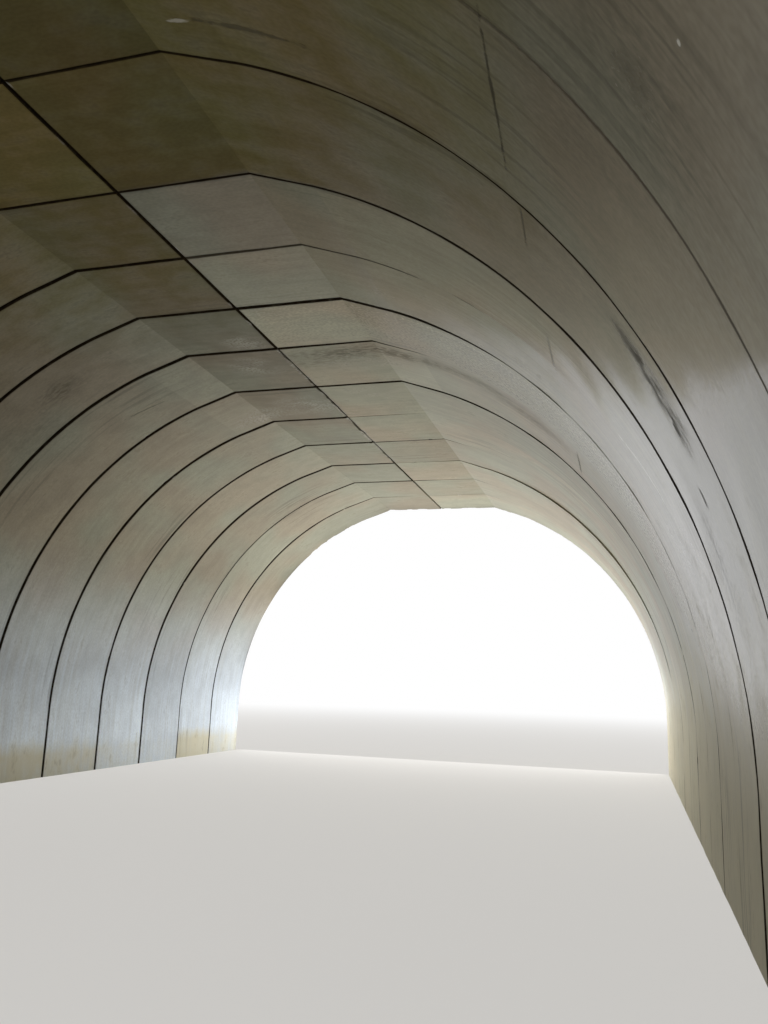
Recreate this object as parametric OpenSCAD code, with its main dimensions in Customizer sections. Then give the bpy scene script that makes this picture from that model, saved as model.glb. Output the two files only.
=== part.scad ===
// Precast concrete arch culvert: a barrel of two-leaf rings with a hinged crown joint,
// sealed joints on its outside and a precast headwall round its far portal.
// The barrel runs along Y. The open end is towards -Y and the headwall is at +Y.
// Z is up, the legs stand at Z = 0 and the origin lies under the middle of the whole.

/* [Barrel profile] */
// Clear width between the straight legs
span = 12780; // [10000:10:15000]
// Height of the straight leg from its foot to the start of the arc
leg_h = 1362; // [600:1:3000]
// Width of the flat panel at the crown
crown_flat_w = 3270; // [1800:10:4400]
// Length of the straight shoulder from the flat crown to where the arc would touch it
shoulder_l = 575; // [200:5:1200]
// Angle by which the soffit turns down from the flat crown to the shoulder
fold_angle = 19.25; // [12:0.25:28]
// How far the shoulder lies inside the arc, which leaves a faint second fold
shoulder_set_in = 4; // [2:0.5:15]
// Thickness of the concrete shell
shell_t = 305; // [200:5:400]

/* [Rings] */
// Number of rings along the barrel
ring_count = 13; // [8:1:16]
// Length of a standard ring along the barrel
ring_l = 1829; // [1200:1:2400]
// Length of a short ring along the barrel
short_ring_l = 1524; // [1000:1:1800]
// First short ring, counted from the open end
first_short_ring = 4; // [1:1:6]
// Last short ring, counted from the open end
last_short_ring = 6; // [4:1:8]
// Open gap between neighbouring rings
joint_gap = 14; // [6:1:30]
// Size of the chamfer along the soffit edges of each ring
joint_chamfer = 12; // [4:1:20]

/* [Crown hinge] */
// Open gap between the two leaves at the crown
crown_gap = 16; // [8:1:30]
// Radius of the rounded nose along the left leaf
nose_r = 90; // [60:1:110]
// How far the nose stands out of the left leaf's crown face
nose_reach = 36; // [32:1:50]
// Clearance between the nose and its socket in the right leaf
hinge_clearance = 0.3; // [0.1:0.1:0.8]
// Chamfer of the soffit edge beside the crown gap
crown_chamfer = 15; // [5:1:25]

/* [Lifting pockets] */
// Radius of the round lifting pockets in the outer face
pocket_r = 70; // [40:1:110]
// Angle of the lower pair of pockets above the start of the arc
low_pocket_angle = 18; // [10:1:30]
// Angle of the upper pair of pockets above the start of the arc
high_pocket_angle = 54; // [40:1:62]
// Distance of a pocket's centre from the side of its ring
pocket_edge = 400; // [300:10:450]

/* [Joint wraps] */
// Width of the sealing wrap over each joint
wrap_w = 300; // [200:10:500]
// Thickness of the sealing wrap
wrap_t = 6; // [3:1:12]
// Height of the wrap's lower ends above the foot of the legs
wrap_toe = 60; // [20:5:300]

/* [Headwall] */
// Thickness of the headwall panels
headwall_t = 305; // [200:5:400]
// How far the headwall reaches past the barrel's outer face on each side
headwall_side = 1100; // [600:10:2500]
// Height of the headwall panels above the barrel's outer crown
headwall_rise = 900; // [400:10:1500]
// Width of each of the two panels over the crown
crown_panel_w = 3905; // [3000:5:5000]
// Gap of the upright joints between the panels
panel_joint = 12; // [6:1:20]
// Clearance between the panels and the barrel that carries them
seat_clearance = 0.3; // [0.1:0.1:0.8]
// Height of the coping on the headwall
coping_h = 250; // [150:5:350]
// How far the coping stands out past each face of the headwall
coping_overhang = 60; // [30:5:120]
// Chamfer of the coping's upper edges
coping_chamfer = 30; // [10:5:60]
// Width and depth of the drip groove under each edge of the coping
drip = 12; // [6:1:15]

/* [Hidden] */
// Fineness of the drawn curves
curve_fn = 256;
// Half of the span and half of the flat crown
half_span = span / 2;
half_crown = crown_flat_w / 2;
// Radius of the soffit arc, to a tenth of a millimetre, and the place of its centre
arc_r = round(
    10 * (half_span - half_crown - shoulder_l * cos(fold_angle)) / (1 - sin(fold_angle))
) / 10;
arc_x = half_span - arc_r;
// Where a line of the shoulder's slope would touch the arc, beyond which the arc rules the outline
touch_x = half_crown + shoulder_l * cos(fold_angle);
// Height of the flat crown soffit, from the shoulder's distance to the arc's centre
rise = round(
    10 * (leg_h + (arc_r - shoulder_set_in - (half_crown - arc_x) * sin(fold_angle)) / cos(fold_angle))
) / 10;
// Outer face of the shell at the crown and at the leg
outer_rise = rise + shell_t;
outer_half = half_span + shell_t;
// Reach of the plain shapes that cut others, past every part of the barrel
past = 2 * (outer_half + outer_rise);
// How far the space that cuts a ring's chamfer runs on past both edges, and where it begins
chamfer_margin = 2;
flare_from = -joint_chamfer - chamfer_margin;
// How much less the chamfer takes off the shoulder, so that its corners lie beside the ends of the folds
shoulder_less = 0.5;

// Length of one ring, place of its middle along the barrel and length of the whole barrel
function ring_length(i) = i >= first_short_ring && i <= last_short_ring ? short_ring_l : ring_l;
function length_to(i) = i < 1 ? 0 : length_to(i - 1) + ring_length(i) + joint_gap;
barrel_l = length_to(ring_count) - joint_gap;
barrel_start = -(barrel_l + coping_overhang) / 2;
barrel_end = barrel_start + barrel_l;
function ring_y(i) = barrel_start + length_to(i - 1) + ring_length(i) / 2;
function joint_y(i) = barrel_start + length_to(i) - joint_gap / 2;

// Centre of the hinge nose, which both leaves share
nose_x = nose_reach - nose_r - crown_gap / 2;
nose_z = rise + shell_t / 2;

// Headwall outline
headwall_top = outer_rise + headwall_rise;
headwall_half = outer_half + headwall_side;

// Names of the nodes
function two_digits(i) = str(i < 10 ? "0" : "", i);
function leaf_name(i, side) = str("ring_", two_digits(i), "_", side, "_leaf");
function wrap_name(i) = str("joint_wrap_", two_digits(i));
SIDES = ["left", "right"];

// The right half of everything below the surface that lies g outside the soffit
module under_surface(g) {
    fold_x = half_crown + g * tan(fold_angle / 2);
    intersection() {
        union() {
            translate([0, -past]) square([half_span + g, past + leg_h]);
            intersection() {
                translate([arc_x, leg_h]) circle(r = arc_r + g, $fn = curve_fn);
                translate([0, leg_h]) square(past);
            }
            square([touch_x + g * sin(fold_angle), past]);
        }
        polygon([
            [0, -past],
            [past, -past],
            [past, rise + g - (past - fold_x) * tan(fold_angle)],
            [fold_x, rise + g],
            [0, rise + g]
        ]);
    }
}

// The right half of the shell between two surfaces, above a toe height
module half_shell(inner, outer, toe) {
    intersection() {
        difference() {
            under_surface(outer);
            under_surface(inner);
        }
        translate([0, toe]) square(past);
    }
}

// A band right round the barrel between two surfaces
module full_shell(inner, outer, toe) {
    half_shell(inner, outer, toe);
    mirror([1, 0]) half_shell(inner, outer, toe);
}

// Turns an outline in X and Z into a solid of length l, with its middle at y
module along_barrel(y, l) {
    translate([0, y, 0]) rotate([90, 0, 0]) linear_extrude(height = l, center = true) children();
}

// What the crown gap and its soffit chamfer take off the right half
module crown_cut() {
    translate([-past, -past]) square([past + crown_gap / 2, 2 * past]);
    translate([crown_gap / 2, rise]) rotate(45) square(crown_chamfer * sqrt(2), center = true);
}

module hinge_nose(clearance) {
    translate([nose_x, nose_z]) circle(r = nose_r + clearance, $fn = curve_fn);
}

// The right leaf's outline, with the socket of the crown hinge
module right_outline() {
    difference() {
        half_shell(0, shell_t, 0);
        crown_cut();
        hinge_nose(hinge_clearance);
    }
}

// The left leaf's outline, with the nose of the crown hinge
module left_outline() {
    mirror([1, 0]) difference() {
        half_shell(0, shell_t, 0);
        crown_cut();
    }
    hinge_nose(0);
}

// Round pockets in the outer face, where the leaf is lifted
module lifting_pockets(i, mirrored) {
    for (a = [low_pocket_angle, high_pocket_angle]) for (end = [-1, 1]) {
        x = arc_x + (arc_r + shell_t) * cos(a);
        z = leg_h + (arc_r + shell_t) * sin(a);
        y = ring_y(i) + end * (ring_length(i) / 2 - pocket_edge);
        translate([mirrored ? -x : x, y, z]) sphere(r = pocket_r, $fn = 48);
    }
}

// Section of the space near a ring's side at Y = 0, which widens past the soffit at X = 0
module flared_section(inside) {
    polygon([
        [-inside, flare_from],
        [-chamfer_margin, flare_from],
        [joint_chamfer + chamfer_margin, chamfer_margin],
        [-inside, chamfer_margin]
    ]);
}

// That section carried both ways along X, with the soffit at Z = 0
module flared_flat() {
    translate([past, 0, 0]) rotate([0, -90, 0]) linear_extrude(height = 2 * past) flared_section(past);
}

// The space under the right half of the soffit that a chamfer at a ring's side opens
module flared_space() {
    intersection() {
        union() {
            translate([half_span, 0, -past])
                linear_extrude(height = past + leg_h) flared_section(half_span);
            intersection() {
                translate([arc_x, flare_from, leg_h]) rotate([-90, 0, 0]) cylinder(
                    h = chamfer_margin - flare_from,
                    r1 = arc_r - chamfer_margin,
                    r2 = arc_r + joint_chamfer + chamfer_margin,
                    $fn = curve_fn
                );
                translate([0, -past, leg_h]) cube([past, 2 * past, past]);
            }
            translate([0, flare_from, leg_h])
                cube([touch_x, chamfer_margin - flare_from, past]);
        }
        translate([half_crown, 0, rise]) rotate([0, fold_angle, 0])
            translate([0, 0, -shoulder_less]) flared_flat();
        translate([half_crown, 0, rise]) flared_flat();
    }
}

// The chamfers along both soffit edges of ring i
module side_chamfers(i, mirrored) {
    mirror([mirrored ? 1 : 0, 0, 0]) translate([0, ring_y(i), 0]) {
        translate([0, ring_length(i) / 2, 0]) flared_space();
        mirror([0, 1, 0]) translate([0, ring_length(i) / 2, 0]) flared_space();
    }
}

module ring_leaf(i, side) {
    color([0.62, 0.61, 0.56]) difference() {
        along_barrel(ring_y(i), ring_length(i)) {
            if (side == "left") {
                left_outline();
            } else {
                right_outline();
            }
        }
        side_chamfers(i, side == "left");
        lifting_pockets(i, side == "left");
    }
}

// The sealing wrap over the joint after ring i
module joint_wrap(i) {
    color([0.12, 0.12, 0.13])
        along_barrel(joint_y(i), wrap_w) full_shell(shell_t, shell_t + wrap_t, wrap_toe);
}

// The sealing wrap along the crown joint, in lengths between the ring wraps
module crown_wrap() {
    last_end = barrel_end - headwall_t - seat_clearance;
    color([0.12, 0.12, 0.13]) for (i = [1:ring_count]) {
        from = i == 1 ? barrel_start : joint_y(i - 1) + wrap_w / 2;
        to = i == ring_count ? last_end : joint_y(i) - wrap_w / 2;
        translate([-wrap_w / 2, from, outer_rise]) cube([wrap_w, to - from, wrap_t]);
    }
}

// A headwall panel between two distances from the middle, cut to sit over the barrel
module headwall_panel(from, to, mirrored) {
    color([0.66, 0.65, 0.60]) mirror([mirrored ? 1 : 0, 0, 0])
        along_barrel(barrel_end - headwall_t / 2, headwall_t) difference() {
            translate([from, 0]) square([to - from, headwall_top]);
            under_surface(shell_t + seat_clearance);
        }
}

module headwall_outer_panel(side) {
    headwall_panel(crown_panel_w + panel_joint / 2, headwall_half, side == "left");
}

module headwall_crown_panel(side) {
    headwall_panel(panel_joint / 2, crown_panel_w - panel_joint / 2, side == "left");
}

// Section of the coping across the headwall, from its back edge at the origin
module coping_section() {
    w = headwall_t + 2 * coping_overhang;
    groove_in = coping_overhang / 2 - drip / 2;
    difference() {
        polygon([
            [0, 0],
            [w, 0],
            [w, coping_h - coping_chamfer],
            [w - coping_chamfer, coping_h],
            [coping_chamfer, coping_h],
            [0, coping_h - coping_chamfer]
        ]);
        translate([groove_in, -drip]) square([drip, 2 * drip]);
        translate([w - groove_in - drip, -drip]) square([drip, 2 * drip]);
    }
}

module headwall_coping(side) {
    back_edge = barrel_end - headwall_t - coping_overhang;
    l = headwall_half + coping_overhang - panel_joint / 2;
    color([0.70, 0.69, 0.64]) mirror([side == "left" ? 1 : 0, 0, 0])
        translate([panel_joint / 2, back_edge, headwall_top])
            rotate([90, 0, 90]) linear_extrude(height = l) coping_section();
}

for (i = [1:ring_count]) for (side = SIDES) {
    ring_leaf(i, side);
}
for (i = [1:ring_count - 1]) {
    joint_wrap(i);
}
crown_wrap();
for (side = SIDES) {
    headwall_outer_panel(side);
    headwall_crown_panel(side);
    headwall_coping(side);
}
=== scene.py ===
"""Dresses the precast arch culvert: thirteen rings of two leaves, the wraps on their joints and a headwall.

Sizes are in metres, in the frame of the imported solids. The barrel runs along Y, with its open end towards -Y
and its headwall at +Y. A place on a leaf is given by s, the distance up the soffit from the base, by y, the
distance along the barrel, and by n, the depth from the soffit into the concrete.
"""
import sys
import logging
import math
from dataclasses import dataclass, field, replace
from enum import Enum

import bpy
import numpy as np
from mathutils import Matrix, Vector


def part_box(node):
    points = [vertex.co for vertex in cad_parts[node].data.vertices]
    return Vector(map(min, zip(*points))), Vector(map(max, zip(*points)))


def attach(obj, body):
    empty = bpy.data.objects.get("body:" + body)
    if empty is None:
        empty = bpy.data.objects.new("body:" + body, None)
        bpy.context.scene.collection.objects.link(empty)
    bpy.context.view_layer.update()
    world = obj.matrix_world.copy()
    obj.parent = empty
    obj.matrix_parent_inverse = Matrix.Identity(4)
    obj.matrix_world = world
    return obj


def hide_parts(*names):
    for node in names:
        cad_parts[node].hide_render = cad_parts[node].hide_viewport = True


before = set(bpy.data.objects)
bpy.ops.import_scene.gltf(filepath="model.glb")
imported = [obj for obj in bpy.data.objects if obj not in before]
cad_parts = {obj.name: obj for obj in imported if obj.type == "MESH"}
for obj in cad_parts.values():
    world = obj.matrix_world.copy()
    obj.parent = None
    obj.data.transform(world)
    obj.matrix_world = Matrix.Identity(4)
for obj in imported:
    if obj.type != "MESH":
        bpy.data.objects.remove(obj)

log = logging.getLogger("culvert")
Array = np.ndarray
Socket = bpy.types.NodeSocket
Colour = tuple[float, float, float]
Place = tuple[float, float, float]


class Side(Enum):
    """The two sides of the barrel, as seen from its open end."""

    LEFT = "left"
    RIGHT = "right"

    @property
    def sign(self) -> int:
        """Sign of X on this side."""
        return -1 if self is Side.LEFT else 1


class Edge(Enum):
    """The soffit edges of a leaf."""

    START = "start"
    END = "end"
    CROWN = "crown"


# Shapes


def smooth(share: Array) -> Array:
    """A share from 0 to 1 with a soft start and end: t * t * (3 - 2 t)."""
    return share * share * (3 - 2 * share)


def hump(at: Array, middle: float, half_width: float) -> Array:
    """A bell over a place: exp(-((at - middle) / half width)^2)."""
    return np.exp(-(((at - middle) / half_width) ** 2))


@dataclass(frozen=True)
class Ripple:
    """A smooth uneven field: the sum of seeded plane waves."""

    seed: int
    length: float
    waves: int = 16
    stretch: float = 1.0

    def at(self, u: Array, v: Array) -> Array:
        """Works out the field, in about -1 to 1.

        Args:
            u: Places along the barrel.
            v: Places up the surface, which the stretch draws out.

        Returns:
            The sum of sin(k . (u, v / stretch) + phase) over the waves.
        """
        rng = np.random.default_rng(self.seed)
        turn = rng.uniform(0, 2 * math.pi, self.waves)
        phase = rng.uniform(0, 2 * math.pi, self.waves)
        size = 2 * math.pi / self.length * rng.uniform(0.5, 1.7, self.waves)
        u, v = np.broadcast_arrays(np.asarray(u, float), np.asarray(v, float))
        total = np.zeros(u.shape)
        for k, a, p in zip(size, turn, phase):
            total += np.sin(k * (u * math.cos(a) + v / self.stretch * math.sin(a)) + p)
        return total * math.sqrt(2 / self.waves) * 0.6


@dataclass(frozen=True)
class BarrelProfile:
    """The compound curve of the barrel: a leg, one long arc, a straight shoulder and a flat crown."""

    half_span: float = 6.39
    leg: float = 1.362
    radius: float = 6.2839
    rise: float = 7.4799
    half_flat: float = 1.635
    fold: float = math.radians(19.25)
    shoulder_set_in: float = 0.004
    shell: float = 0.305
    half_crown_gap: float = 0.008
    crown_chamfer: float = 0.015
    nose_radius: float = 0.090
    nose_reach: float = 0.036
    hinge_clearance: float = 0.0003

    @property
    def arc_x(self) -> float:
        """Distance of the arc's centre from the middle."""
        return self.half_span - self.radius

    def kink(self, n: Array) -> Array:
        """Angle on the arc, n deep, at which the shoulder's straight line cuts it."""
        r = self.radius + n
        return math.pi / 2 - self.fold - np.arccos((r - self.shoulder_set_in) / r)

    @property
    def arc_end(self) -> float:
        """Distance up the soffit to the top of the arc."""
        return self.leg + self.radius * float(self.kink(np.float64(0)))

    @property
    def fold_at(self) -> float:
        """Finds the fold between shoulder and flat crown.

        Returns:
            Its distance up the soffit.
        """
        a = float(self.kink(np.float64(0)))
        kink_x, kink_z = self.arc_x + self.radius * math.cos(a), self.leg + self.radius * math.sin(a)
        return self.arc_end + math.hypot(self.half_flat - kink_x, self.rise - kink_z)

    @property
    def crown_at(self) -> float:
        """Distance up the soffit to its edge at the crown joint."""
        return self.fold_at + self.half_flat - self.half_crown_gap - self.crown_chamfer

    def crown_face(self, n: Array, side: Side) -> Array:
        """Distance of a leaf's crown face from the middle, with its chamfer and its nose or socket.

        Args:
            n: Depths into the concrete.
            side: The left leaf carries the nose, and the right leaf the socket.

        Returns:
            half gap + what is left of the chamfer, or the circle of the hinge where that cuts the face.
        """
        face = self.half_crown_gap + np.clip(self.crown_chamfer - n, 0, None)
        nose_x = self.nose_reach - self.nose_radius - self.half_crown_gap
        off = n - self.shell / 2
        clearance = self.hinge_clearance if side is Side.RIGHT else 0.0
        reach = np.sqrt(np.clip((self.nose_radius + clearance) ** 2 - off**2, 0, None))
        hinge = nose_x + reach
        if side is Side.RIGHT:
            return np.where(hinge > self.half_crown_gap, np.maximum(face, hinge), face)
        return np.where(hinge > -self.half_crown_gap, np.minimum(face, -hinge), face)

    def at(self, s: Array, n: Array, side: Side) -> tuple[Array, Array]:
        """Places points on the profile.

        Args:
            s: Distances up the soffit from the base.
            n: Depths into the concrete.
            side: The side of the barrel.

        Returns:
            X and Z: straight up the leg, then around the arc's centre at radius + n, then straight lines
            from the kink to the fold and from the fold to the crown face, each moved out by n.
        """
        s, n = np.broadcast_arrays(np.asarray(s, float), np.asarray(n, float))
        kink = self.kink(n)
        r = self.radius + n
        turn = kink * (s - self.leg) / (self.arc_end - self.leg)
        kink_x, kink_z = self.arc_x + r * np.cos(kink), self.leg + r * np.sin(kink)
        fold_x, fold_z = self.half_flat + n * math.tan(self.fold / 2), self.rise + n
        up = (s - self.arc_end) / (self.fold_at - self.arc_end)
        along = (s - self.fold_at) / (self.crown_at - self.fold_at)
        parts = [s < self.leg, s < self.arc_end, s < self.fold_at]
        x = np.select(
            parts,
            [self.half_span + n, self.arc_x + r * np.cos(turn), kink_x + (fold_x - kink_x) * up],
            fold_x + (self.crown_face(n, side) - fold_x) * along,
        )
        z = np.select(parts, [s, self.leg + r * np.sin(turn), kink_z + (fold_z - kink_z) * up], fold_z)
        return side.sign * x, z


@dataclass
class Skin:
    """A closed surface made of a tube of loops with faces over its two ends."""

    points: Array
    uv: Array
    layers: Array
    crease_rows: list[int] = field(default_factory=list)
    crease_columns: list[int] = field(default_factory=list)
    caps: list[list[int]] = field(default_factory=list)
    cap_uv: Array | None = None
    values: dict[str, Array] = field(default_factory=dict)

    def end_caps(self) -> list[list[int]]:
        """Closes the tube's ends.

        Returns:
            Corner numbers of one face over each end, wound as the tube is.
        """
        rows, loop = self.points.shape[:2]
        last = (rows - 1) * loop
        return [list(range(loop - 1, -1, -1)), list(range(last, last + loop))]

    def quads(self) -> Array:
        """Numbers the corners of the tube's faces.

        Returns:
            Four corner numbers for each face, row by row round the loop.
        """
        rows, loop = self.points.shape[:2]
        number = np.arange(rows * loop).reshape(rows, loop)
        beside = np.roll(number, -1, axis=1)
        return np.stack([number[:-1], beside[:-1], beside[1:], number[1:]], -1).reshape(-1, 4)

    def volume(self, quads: Array, caps: list[list[int]]) -> float:
        """Works out the signed volume, from the triangles that each face fans into.

        Args:
            quads: Corner numbers of the tube's faces.
            caps: Corner numbers of its end faces.

        Returns:
            The sum of p0 . (p1 x p2) / 6 over the triangles, below 0 where the faces look inwards.
        """
        p = self.points.reshape(-1, 3)
        fans = [quads[:, [0, 1, 2]], quads[:, [0, 2, 3]]]
        fans += [np.array([[c[0], c[i], c[i + 1]] for i in range(1, len(c) - 1)]) for c in caps]
        t = p[np.concatenate(fans)]
        return float(np.einsum("ij,ij->i", t[:, 0], np.cross(t[:, 1], t[:, 2])).sum() / 6)

    def faces(self) -> tuple[Array, Array, Array, Array]:
        """Puts the tube and its caps into flat arrays with their faces outwards.

        Returns:
            Corner numbers, the first corner of each face, the UV of each corner and each face's layer.
        """
        rows, loop = self.points.shape[:2]
        quads = self.quads()
        caps = self.caps or self.end_caps()
        flat_uv = self.cap_uv.reshape(-1, 2) if self.cap_uv is not None else self.uv[:, :, 0].reshape(-1, 2)
        uv = np.stack([self.uv[:-1, :, 0], self.uv[:-1, :, 1], self.uv[1:, :, 1], self.uv[1:, :, 0]], 2)
        uv = uv.reshape(-1, 4, 2)
        if self.volume(quads, caps) < 0:
            quads, uv, caps = quads[:, ::-1], uv[:, ::-1], [c[::-1] for c in caps]
        corners = np.concatenate([quads.ravel(), *[np.array(c) for c in caps]])
        cap_starts = len(quads) * 4 + np.cumsum([0] + [len(c) for c in caps[:-1]])
        starts = np.concatenate([np.arange(len(quads)) * 4, cap_starts])
        corner_uv = np.concatenate([uv.reshape(-1, 2), *[flat_uv[c] for c in caps]])
        layers = np.broadcast_to(self.layers, (rows - 1, loop)).ravel()
        return corners, starts, corner_uv, np.concatenate([layers, np.zeros(len(caps), int)])

    def sharp(self, edges: Array) -> Array:
        """Finds the creases.

        Args:
            edges: The two point numbers of each edge.

        Returns:
            True for edges along a crease row or column and for those round the end faces.
        """
        rows, loop = self.points.shape[:2]
        row, column = edges // loop, edges % loop
        same_row, same_column = row[:, 0] == row[:, 1], column[:, 0] == column[:, 1]
        on_row = same_row & np.isin(row[:, 0], [0, rows - 1, *self.crease_rows])
        on_column = same_column & np.isin(column[:, 0], self.crease_columns)
        return on_row | on_column


def tube_map(u: Array, v: Array) -> Array:
    """The map of a tube's faces at their first and second column, from its points' u and v in each loop."""
    return np.stack([np.stack([u, np.roll(u, -1, 1)], -1), np.stack([v, v], -1)], -1)


def piece_from(name: str, skins: list[Skin], materials: list[bpy.types.Material]) -> bpy.types.Object:
    """Makes one object from closed skins.

    Args:
        name: The piece's name.
        skins: The closed surfaces, which don't touch.
        materials: Its finishes, in the order of the skins' layers.

    Returns:
        The object, at the origin, with its points, faces, UV map, creases and point values.
    """
    made = [skin.faces() for skin in skins]
    points = np.concatenate([skin.points.reshape(-1, 3) for skin in skins])
    first_point = np.cumsum([0] + [skin.points.size // 3 for skin in skins])
    first_corner = np.cumsum([0] + [len(m[0]) for m in made])
    mesh = bpy.data.meshes.new(name)
    mesh.vertices.add(len(points))
    mesh.vertices.foreach_set("co", points.astype(np.float32).ravel())
    corners = np.concatenate([m[0] + k for m, k in zip(made, first_point)])
    starts = np.concatenate([m[1] + k for m, k in zip(made, first_corner)])
    mesh.loops.add(len(corners))
    mesh.loops.foreach_set("vertex_index", corners.astype(np.int32))
    mesh.polygons.add(len(starts))
    mesh.polygons.foreach_set("loop_start", starts.astype(np.int32))
    mesh.polygons.foreach_set("material_index", np.concatenate([m[3] for m in made]).astype(np.int32))
    mesh.polygons.foreach_set("use_smooth", np.ones(len(starts), bool))
    mesh.update(calc_edges=True)
    mesh.uv_layers.new(name="surface").uv.foreach_set(
        "vector", np.concatenate([m[2] for m in made]).astype(np.float32).ravel()
    )
    edges = np.empty(len(mesh.edges) * 2, np.int32)
    mesh.edges.foreach_get("vertices", edges)
    edges = edges.reshape(-1, 2)
    sharp = np.zeros(len(edges), bool)
    for skin, low, high in zip(skins, first_point[:-1], first_point[1:]):
        mine = (edges[:, 0] >= low) & (edges[:, 0] < high)
        sharp[mine] = skin.sharp(edges[mine] - low)
    mesh.attributes.new("sharp_edge", "BOOLEAN", "EDGE").data.foreach_set("value", sharp)
    for key in skins[0].values:
        value = np.concatenate([np.broadcast_to(s.values[key], s.points.shape[:2]).ravel() for s in skins])
        mesh.attributes.new(key, "FLOAT", "POINT").data.foreach_set("value", value.astype(np.float32))
    for material in materials:
        mesh.materials.append(material)
    piece = bpy.data.objects.new(name, mesh)
    bpy.context.scene.collection.objects.link(piece)
    return piece


def stand_in(piece: bpy.types.Object, node: str) -> None:
    """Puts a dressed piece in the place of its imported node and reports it.

    Args:
        piece: The dressed piece.
        node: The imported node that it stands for.
    """
    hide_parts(node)
    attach(piece, "root")
    log.info("%s: %d faces", piece.name, len(piece.data.polygons))


# Finishes


class Wire:
    """A number, colour or place between shader nodes. Sums written with it add the nodes for them."""

    def __init__(self, graph: "Graph", socket: Socket) -> None:
        """Holds one output of a node.

        Args:
            graph: The graph that the node is in.
            socket: The output.
        """
        self.graph, self.socket = graph, socket

    def __add__(self, other: "Wire | float") -> "Wire":
        """The sum of two numbers."""
        return self.graph.math("ADD", self, other)

    def __sub__(self, other: "Wire | float") -> "Wire":
        """The difference of two numbers."""
        return self.graph.math("SUBTRACT", self, other)

    def __rsub__(self, other: float) -> "Wire":
        """The difference of a fixed number and this one."""
        return self.graph.math("SUBTRACT", other, self)

    def __mul__(self, other: "Wire | float") -> "Wire":
        """The product of two numbers."""
        return self.graph.math("MULTIPLY", self, other)

    def or_more(self, other: "Wire") -> "Wire":
        """The greater of two numbers."""
        return self.graph.math("MAXIMUM", self, other)

    def held(self) -> "Wire":
        """The last sum, held between 0 and 1."""
        self.socket.node.use_clamp = True
        return self

    def span(self, low: float, high: float, to_low: float = 0.0, to_high: float = 1.0) -> "Wire":
        """Takes one range onto another, with a soft start and end.

        Args:
            low: Start of this range.
            high: End of this range.
            to_low: The result at the start and before.
            to_high: The result at the end and past it.

        Returns:
            The result.
        """
        node = self.graph.node("ShaderNodeMapRange")
        node.interpolation_type = "SMOOTHSTEP"
        limits = {"Value": self, "From Min": low, "From Max": high, "To Min": to_low, "To Max": to_high}
        for key, value in limits.items():
            self.graph.put(node.inputs[key], value)
        return Wire(self.graph, node.outputs["Result"])


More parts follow.
